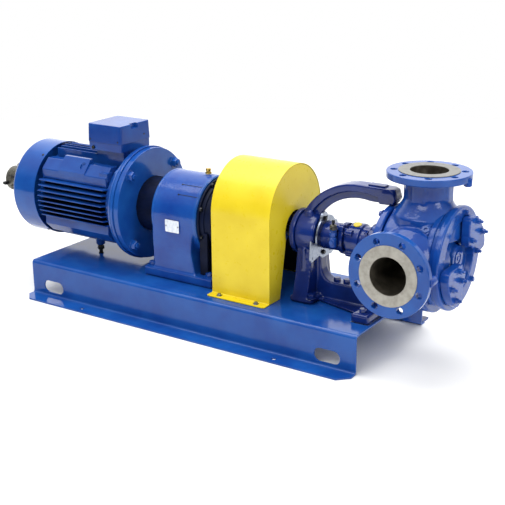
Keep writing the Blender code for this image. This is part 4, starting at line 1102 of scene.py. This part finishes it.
# %% Machine its cover, and bolt it down
profile = [(-0.3663, SHAFT_BORE), (-0.3663, 0.0635), (-0.3795, 0.0635), (-0.38, 0.058), (-0.385, 0.056),
           (-0.39, 0.04), (-0.3915, 0.033), (-0.3915, SHAFT_BORE)]
cover = turned("bearing_cover_disc", eased(profile, 0.003, 4), tube=True)
# The cover's darker navy enamel is painted shade
finished(cover, navy_painted_shade, "navy_paint", ["bearing_cover"])
bolts = hex_heads(on_circle(-0.3795, 0.0535, evenly(6, 0)), "X", 0.009, -0.0055, 0.0065, -0.001)
joined("bearing_cover_bolts", bolts, black_steel, "black_steel")
bolts = hex_heads([(-0.306, y, 0.1268) for y in (-0.063, 0.063)], "Z", 0.019, 0.01, 0.0145, 0.002)
bolts += hex_heads([(-0.125, y, 0.135) for y in (-0.103, 0.103)], "Z", 0.017, 0.01, 0.0145, 0.002)
bolts += hex_heads([(x, 0.004, 0.1668) for x in (-0.262, -0.232)], "Z", 0.017, 0.009)
joined("bracket_bolts", bolts, navy_painted_shade, "navy_paint")
pad = slab("arch_pad", (-0.1665, -0.0125, 0.4545), (-0.118, 0.0125, 0.46), 0.0015, 3)
finished(pad, navy_painted_shade, "navy_paint")
shims = [slab("shim", (-0.1505, y - 0.036, ON_BASE - 0.0001), (-0.099, y + 0.036, ON_BASE + 0.0012))
         for y in (-0.0875, 0.0875)]
joined("bracket_shims", shims, zinc, "zinc_plate")

# %% [markdown]
# ## Adjusting plate
# A zinc-plated steel plate locks the bearing's setting. It is cut from sheet: a ring with three lobes,
# three curved slots for the bolts that hold it, and a long tongue with a round hole. Zinc plating is
# bright, bluish and cloudy.

# %% Cut the adjusting plate
PLATE_REAR, PLATE_FRONT = -0.2995, -0.2945
OUTER_SLOT_R, INNER_SLOT_R = 0.052, 0.049


def curved_slot(radius, first, last, width=0.0065):
    """A slot that follows a circle about the shaft."""
    outer = arc((0, SHAFT_Z), radius + width / 2, first, last, 10)
    inner = arc((0, SHAFT_Z), radius - width / 2, last, first, 10)
    return drawn("slot", outer + inner, PLATE_REAR - 0.002, PLATE_FRONT + 0.002, "X")


solids = [turned("ring", [(PLATE_REAR + 0.0001, 0.056), (PLATE_FRONT - 0.0001, 0.056)])]
for y, z, radius in ((-0.014, 0.05, 0.019), (0.047, 0.018, 0.014), (0.024, -0.042, 0.019)):
    rings = [(PLATE_REAR + 0.0002, radius), (PLATE_FRONT - 0.0002, radius)]
    solids.append(turned("lobe", rings, "X", (0, y, SHAFT_Z + z), 48))
tongue = [(0.02, -0.06), (-0.03, -0.03), (-0.085, 0.002), *arc((-0.08, -0.05), 0.0085, 180, 290, 8),
          (-0.04, -0.05), (-0.024, -0.061)]
tongue = [(y, SHAFT_Z + z) for y, z in tongue]
solids.append(drawn("tongue", tongue, PLATE_REAR + 0.0003, PLATE_FRONT - 0.0003, "X"))
plate = united(*solids)
through = (PLATE_REAR - 0.01, PLATE_FRONT + 0.01)
cut(plate, turned("bore", [(x, 0.0392) for x in through]),
    turned("hole", [(x, 0.0036) for x in through], "X", (0, -0.079, SHAFT_Z - 0.048), 24),
    curved_slot(OUTER_SLOT_R, 88, 124), curved_slot(INNER_SLOT_R, 228, 262), curved_slot(INNER_SLOT_R, 286,
                                                                                         312))
plate.name = "zinc_adjusting_plate"
finished(rounded_edges(plate, 0.0005, 2, 50), zinc, "zinc_plate", ["adjusting_plate"])
face = PLATE_FRONT - 0.0002
places = on_circle(face, OUTER_SLOT_R, (106,)) + on_circle(face, INNER_SLOT_R, (245, 299))
screws = hex_heads(places, "X", 0.01, 0.005, 0.0075, 0.001)
joined("adjusting_plate_screws", screws, black_steel, "black_steel")

# %% [markdown]
# ## Flush fitting
# A small pipe fitting stands on the bracket's nose, where oil or flushing liquid enters. Its hexagon is
# there for a spanner, and its knurled knob closes a little valve on top.

# %% Turn the flush fitting
FITTING_X = -0.247
FITTING_AT = (FITTING_X, -0.052, 0.01)

profile = [(0.2725, 0.0088), (0.2745, 0.0098), (0.2985, 0.0098), (0.3005, 0.0068), (0.3175, 0.0068),
           (0.318, 0.0092), (0.3205, 0.0092), (0.321, 0.007)]
hexagon = [(0.3035, 0.0092), (0.3042, 0.0099), (0.3138, 0.0099), (0.3145, 0.0092)]
side_port = [(0.06, 0.0052), (0.0602, 0.006), (0.0645, 0.006), (0.065, 0.005)]
solids = [turned("body", eased(profile, 0.001, 2), "Z", FITTING_AT, 40),
          turned("hexagon", hexagon, "Z", FITTING_AT, 6),
          turned("stub", [(0.0385, 0.0065), (0.051, 0.0065)], "FRONT", (FITTING_X, 0, 0.3), 24),
          turned("side port", side_port, "FRONT", (FITTING_X, 0, 0.2965), 24)]
joined("flush_valve_body", solids, cast_blue, "blue_paint", ["flush_fitting"])
cap = [(0.3208, 0.0075), (0.3212, 0.0094), (0.333, 0.0096), (0.335, 0.008), (0.3355, 0.0048)]
cap = turned("flush_valve_cap", eased(cap, 0.0012, 2), "Z", FITTING_AT, 40)
finished(cap, dull_zinc, "bright_steel")
profile = [(0.3352, 0.0032), (0.3395, 0.0032), (0.34, 0.0046), (0.347, 0.0046), (0.348, 0.0034)]
solids = [turned("knob", eased(profile, 0.0008, 2), "Z", FITTING_AT, 24),
          turned("pin", [(0.056, 0.0026), (0.0665, 0.0026)], "FRONT", (FITTING_X, 0, 0.3362), 16)]
joined("flush_valve_knob", solids, black_steel, "black_steel")

# %% [markdown]
# ## Seal and gland
# The shaft leaves the pump through a stuffing box. A follower with two lugs presses the packing in when its
# bolts are tightened. A round yellow tag on top is left blank here.

# %% Turn the seal housing and its follower
LUG_R, LUG_ANGLES = 0.0415, (128, 308)
EAR_R, EAR_ANGLES = 0.0465, (38, 142, 218, 322)
TAG_TURN = math.radians(12)

profile = [(-0.2455, SHAFT_BORE), (-0.2455, 0.0325), (-0.241, 0.0345), (-0.2398, 0.0345), (-0.2398, 0.044),
           (-0.2262, 0.044), (-0.2262, SHAFT_BORE)]
solids = [turned("follower", eased(profile, 0.0022, 3), segments=80, tube=True)]
for place in on_circle(0, LUG_R, LUG_ANGLES):
    solids.append(turned("lug", [(-0.2395, 0.0125), (-0.2265, 0.0125)], "X", place, 32))
# The seal's darker navy enamel is painted shade
joined("gland_follower_casting", solids, navy_painted_shade, "navy_paint", ["gland_follower"])
profile = [(-0.2255, SHAFT_BORE), (-0.2255, 0.0355), (-0.2145, 0.036), (-0.2138, 0.0475), (-0.1785, 0.0475),
           (-0.176, 0.042), (-0.1503, 0.042), (-0.1498, 0.0545), (-0.1305, 0.0545), (-0.1305, SHAFT_BORE)]
solids = [turned("housing", eased(profile, 0.003, 4), tube=True)]
for place in on_circle(0, EAR_R, EAR_ANGLES):
    solids.append(turned("ear", [(-0.2132, 0.009), (-0.196, 0.0095)], "X", place, 28))
joined("seal_housing_casting", solids, navy_painted_shade, "navy_paint", ["seal_housing"])
bolts = hex_heads(on_circle(-0.2398, LUG_R, LUG_ANGLES), "X", 0.013, -0.008, 0.0095, -0.0012, -0.006)
for place in on_circle(0, LUG_R, LUG_ANGLES):
    bolts.append(turned("stud", [(-0.2265, 0.004), (-0.2, 0.004)], "X", place, 20))
bolts += hex_heads(on_circle(-0.1498, 0.0485, evenly(4, 45)), "X", 0.012, -0.007, 0.009, -0.0012, -0.003)
bolts += hex_heads(on_circle(-0.2132, EAR_R, EAR_ANGLES), "X", 0.01, -0.0055)
joined("seal_bolts", bolts, navy_painted_shade, "navy_paint")
tag = turned("blank_yellow_tag", [(0.0468, 0.0115), (0.049, 0.0115), (0.0494, 0.011)], "Z",
             (-0.1955, 0, 0), 40)
finished(moved(tag, ON_SHAFT, (TAG_TURN, 0, 0)), guard_yellow, "yellow_paint")

# %% [markdown]
# ## Pump casing
# The casing is a drum with a port on top and one in front, cast in one. Its necks aren't round all the way:
# pattern makers give such a neck flat sides, and it flares where it meets the drum. Below hangs a belly,
# and two plugs close the round bosses between the ports. The casting is a remesh of the plain solids again.
# The port flanges and the drum's front flange are machined, so they are turned crisp, with real bolt holes,
# and the two ports are cut right through to where they meet inside.

# %% Cast the casing
PORT_OUT, FLANGE_BACK, PORT_BORE = 0.2225, 0.2025, 0.05
CASING_REAR, CASING_R = -0.085, 0.1175
# A neck's section is a square with wide chamfers, so that its corners show as upright lines
SIDE, CORNER = 0.0622, 0.0165
NECK_LOW, NECK_HIGH = 0.06, 0.192
# The plugs point up and forwards, half way between the ports
BETWEEN_PORTS = (math.radians(45), 0, 0)
# Each plug's place along the shaft, the radius and height of its boss, and its own radius and height
PLUGS = ((0.038, 0.015, 0.13, 0.0098, 0.133), (0.01, 0.0095, 0.125, 0.0056, 0.1275))

drum = [(CASING_REAR + 0.0005, 0.108), (CASING_REAR + 0.008, 0.116), (CASING_REAR + 0.02, CASING_R),
        (0.04, 0.1195)]
flare = [(0.05, 0.092), (0.108, 0.09), (0.12, 0.08), (0.134, 0.069), (0.15, 0.06), (0.189, 0.06),
         (0.1975, 0.066), (0.2035, 0.072)]
section = [(-CORNER, -SIDE), (CORNER, -SIDE), (SIDE, -CORNER), (SIDE, CORNER), (CORNER, SIDE),
           (-CORNER, SIDE), (-SIDE, CORNER), (-SIDE, -CORNER)]
# Webs fill the corners between the necks and the drum's front flange
shoulder = [(0.01, 0.09), (0.058, 0.09), (0.058, 0.128), (0.045, 0.15), (0.03, 0.165)]
solids = [turned("drum", drum), turned("neck", flare, "Z"), turned("neck", flare, "FRONT"),
          drawn("neck core", section, SHAFT_Z + NECK_LOW, SHAFT_Z + NECK_HIGH, "Z"),
          drawn("front core", [(x, SHAFT_Z + z) for x, z in section], NECK_LOW, NECK_HIGH, "FRONT"),
          drawn("shoulder", [(x, SHAFT_Z + z) for x, z in shoulder], -0.036, 0.036, "FRONT"),
          drawn("shoulder", [(x, -z) for x, z in reversed(shoulder)], SHAFT_Z - 0.036, SHAFT_Z + 0.036, "Z")]
plugs = []
for x, boss_radius, boss_rise, radius, rise in PLUGS:
    rings = [(0.09, boss_radius + 0.004), (boss_rise - 0.002, boss_radius), (boss_rise, boss_radius - 0.002)]
    boss = turned("boss", rings, "Z", (0, 0, 0), 32)
    solids.append(moved(boss, (x, 0, SHAFT_Z), BETWEEN_PORTS))
    rings = [(0.11, radius), (rise - 0.001, radius), (rise, radius - 0.001), (rise, radius * 0.5),
             (rise - 0.004, radius * 0.5)]
    plug = turned("plug", rings, "Z", (0, 0, 0), 32)
    plugs.append(moved(plug, (x, 0, SHAFT_Z), BETWEEN_PORTS))
# The drum's belly hangs lower than its covers, where the liquid of the lower gear runs round
belly = turned("belly", [(-0.018, 0.11), (-0.012, 0.116), (0.05, 0.116)])
solids.append(moved(belly, (0, -0.008, -0.034)))
casing = cast(together("pump_casing_casting", solids), 0.0025, 7)
cut(casing, turned("top way", [(-0.046, 0.03), (-0.043, PORT_BORE), (0.23, PORT_BORE)], "Z"),
    turned("front way", [(-0.042, 0.03), (-0.039, PORT_BORE), (0.23, PORT_BORE)], "FRONT"))


def inside_ports(face):
    x, y, z = face.center.x - PORT_X, face.center.y, face.center.z - SHAFT_Z
    reach = PORT_BORE + 0.0006
    return (math.hypot(x, y) < reach and z > -0.05) or (math.hypot(x, z) < reach and y < 0.05)


finished(casing, cast_blue, "blue_paint", ["pump_casing"], even=False)
second_finish(casing, bore_iron, inside_ports)
joined("casing_plugs", plugs, sheet_blue, "blue_paint")

# %% Turn the port flanges with their bare faces
RIM_R, FACE_R, BOLT_CIRCLE, BOLT_HOLE = 0.11, 0.0788, 0.09, 0.009
RIM_FRONT = PORT_OUT - 0.002


def port_flange(name, direction, face_metal, ear_low, ear_radius):
    """A painted rim with eight bolt holes, and over it the bare raised face that a gasket seals on."""
    profile = [(FLANGE_BACK, PORT_BORE), (FLANGE_BACK, RIM_R - 0.0015), (FLANGE_BACK + 0.002, RIM_R),
               (RIM_FRONT - 0.0015, RIM_R), (RIM_FRONT, RIM_R - 0.0015), (RIM_FRONT, PORT_BORE)]
    rim = turned(name, eased(profile, 0.0008, 2), direction, segments=144, tube=True)
    # Each hole is a little wider at both its mouths
    rings = [(0.19, 0.0105), (FLANGE_BACK + 0.0004, 0.0102), (FLANGE_BACK + 0.0014, BOLT_HOLE),
             (PORT_OUT - 0.0032, BOLT_HOLE), (PORT_OUT - 0.0018, 0.0104), (0.23, 0.0125)]
    holes = []
    for a, b in arc((0, 0), BOLT_CIRCLE, 22.5, 337.5, 7):
        place = (a, b, SHAFT_Z) if direction == "Z" else (a, 0, SHAFT_Z + b)
        holes.append(turned("hole", rings, direction, place, 32))
    cut(rim, together("holes", holes))
    finished(rim, sheet_blue, "blue_paint", ["pump_casing"])
    profile = [(PORT_OUT - 0.0045, 0.0496), (PORT_OUT - 0.0045, FACE_R), (PORT_OUT - 0.0004, FACE_R),
               (PORT_OUT, FACE_R - 0.0004), (PORT_OUT, 0.0508), (PORT_OUT - 0.001, 0.0496)]
    face = turned(f"{name}_bare_face", profile, direction, segments=144, tube=True)
    finished(face, face_metal, "blue_paint")
    # A thin lining keeps the port's bare iron clear of the rim's paint
    profile = [(0.196, 0.0492), (0.196, 0.0503), (PORT_OUT - 0.0022, 0.0503), (PORT_OUT - 0.0022, 0.0492)]
    liner = turned(f"{name}_bore", profile, direction, tube=True)
    finished(liner, bore_iron, "blue_paint")
    # An ear on the flange's back carries a bolt
    rings = [(ear_low, ear_radius - 0.002), (ear_low + 0.002, ear_radius), (0.212, ear_radius),
             (0.2145, ear_radius - 0.002)]
    ear = turned(f"{name}_ear", rings, direction, (0.105, 0, SHAFT_Z), 32)
    finished(ear, cast_blue, "blue_paint")


port_flange("front_port_flange", "FRONT", front_face_metal, 0.184, 0.012)
port_flange("top_port_flange", "Z", top_face_metal, 0.1925, 0.0105)

# %% [markdown]
# ## Rear cover, front cover and jackets
# Covers close the drum at both ends. The front one is dished, and inside its rim the shaft's bearing ends
# in a boss with a plug. Two jacket covers stand over the dish on studs, where steam or hot oil heats the
# pump. Their studs and nuts are the most regular detail of this end, so each is a real hexagon with a real
# stud.

# %% Turn the rear cover and the drum's flange
STEP = -0.13

steps = [(0.0002, SHAFT_BORE), (0.0002, 0.069), (0.013, 0.0735), (0.0138, 0.094), (0.0232, 0.0985),
         (0.0238, 0.113), (0.0262, 0.1165)]
profile = [(STEP + x, radius) for x, radius in steps]
profile += [(CASING_REAR - 0.005, 0.1175), (CASING_REAR - 0.0003, 0.115),
            (CASING_REAR - 0.0003, SHAFT_BORE)]
cover = turned("rear_cover_casting", eased(profile, 0.003, 4), segments=128, tube=True)
finished(cover, cast_blue, "blue_paint", ["rear_cover"])
bolts = hex_heads(on_circle(STEP + 0.0236, 0.1055, evenly(8, 22.5)), "X", 0.014, -0.0085, 0.0115, -0.0015)
bolts += hex_heads(on_circle(STEP + 0.0136, 0.084, evenly(4, 45)), "X", 0.012, -0.007, 0.0095, -0.0012)
joined("rear_cover_bolts", bolts, cast_blue, "blue_paint")
profile = [(0.0385, 0.11), (0.044, 0.1215), (0.0495, 0.129), (0.0515, 0.1318), (0.064, 0.1318),
           (0.0658, 0.13), (0.0658, 0.11)]
rim = turned("casing_front_rim", eased(profile, 0.002, 3), segments=144, tube=True)
finished(rim, cast_blue, "blue_paint")

# %% Add the casing's foot
def free_corner(edge):
    x, y = edge.verts[0].co.xy
    return abs(edge.verts[0].co.z - edge.verts[1].co.z) > 0.005 and y < 0 < x


sole = bevelled(slab("sole", (-0.036, -0.0375, 0.111), (0.016, 0.004, 0.1175)), free_corner, 0.01, 5)
solids = [rounded_edges(sole, 0.0012, 2), slab("upright", (-0.036, -0.043, 0.111), (0.016, -0.036, 0.1545),
                                               0.0014)]
joined("casing_support", solids, cast_blue, "blue_paint", ["casing_foot"])

# %% Turn the front cover
FACE_BOLT_R, FACE_BOLT_FIRST = 0.1185, 17

profile = [(0.0663, 0.03), (0.0663, 0.1312), (0.0765, 0.1316), (0.0772, 0.1372), (0.0785, 0.138),
           (0.0905, 0.138), (0.094, 0.1345), (0.094, 0.0985), (0.092, 0.0955), (0.077, 0.0915),
           (0.0752, 0.088), (0.0752, 0.044), (0.078, 0.0372), (0.088, 0.0352), (0.09, 0.033),
           (0.09, 0.0165), (0.088, 0.015), (0.088, 0.01)]
cover = turned("front_cover_casting", eased(profile, 0.0022, 3), segments=144)
finished(cover, cast_blue, "blue_paint", ["front_cover"])
angles = [FACE_BOLT_FIRST + 60 * i for i in (1, 3, 4, 5)]
solids = hex_heads(on_circle(0.0936, FACE_BOLT_R, angles), "X", 0.013, 0.008, 0.0105, 0.0014)
dowel_at = on_circle(0, FACE_BOLT_R, [FACE_BOLT_FIRST + 90])[0]
solids.append(turned("dowel", [(0.093, 0.004), (0.0955, 0.004), (0.0962, 0.0032)], "X", dowel_at, 20))
plug = [(0.0875, 0.0205), (0.0915, 0.0205), (0.0925, 0.0195), (0.0925, 0.0135), (0.0905, 0.013),
        (0.0905, 0.006), (0.0925, 0.0055)]
solids.append(turned("centre plug", plug, segments=48))
joined("front_cover_bolts", solids, cast_blue, "blue_paint")

# %% Cast the jacket covers, with their studs
JACKET_REAR, JACKET_X = 0.0945, 0.119
# A jacket's outer corner is eased over this many degrees and this much radius
CORNER_TURN, CORNER_DROP = 11, 0.02


def jacket_corner(outer, side, direction):
    """The soft outer corner at one straight side, from the outer circle to that side."""
    ease = ((outer, CORNER_TURN), (outer - 0.005, 3), (outer - CORNER_DROP, 0))
    return [on_circle(0, radius, [side + direction * turn])[0][1:] for radius, turn in ease]


def jacket_cover(name, node, first, last, inner, outer, studs):
    """A sector of a ring with soft corners, whose nuts and studs stand on round pads."""
    outline = arc((0, SHAFT_Z), outer, first + CORNER_TURN, last - CORNER_TURN, 24)
    outline += smooth_curve(jacket_corner(outer, last, -1), 3)[1:]
    outline += arc((0, SHAFT_Z), inner, last, first, 16)
    outline += smooth_curve(jacket_corner(outer, first, 1)[::-1], 3)[:-1]
    plate = drawn("plate", outline, JACKET_REAR, JACKET_X - 0.0005, "X")
    solids = [rounded_edges(plate, 0.0055, 4, 35)]
    places = [on_circle(0, radius, [degrees])[0] for radius, degrees in studs]
    for place in places:
        rings = [(0.1, 0.0135), (JACKET_X - 0.0006, 0.0135), (JACKET_X + 0.0002, 0.0125)]
        solids.append(turned("pad", rings, "X", place, 32))
    joined(name, solids, cast_blue, "blue_paint", [node])
    places = [(JACKET_X + 0.0001, y, z) for x, y, z in places]
    nuts = hex_heads(places, "X", 0.013, 0.0085, 0.0095, 0.0012, 0.0068)
    joined(f"{name}_nuts", nuts, cast_blue, "blue_paint")


jacket_cover("jacket_cover_above", "jacket_cover_upper", 3, 91, 0.036, 0.112,
             ((0.103, 66), (0.098, 36), (0.052, 82), (0.044, 20)))
jacket_cover("jacket_cover_below", "jacket_cover_lower", 180, 250, 0.036, 0.126,
             ((0.112, 206), (0.113, 230), (0.063, 190), (0.06, 224)))
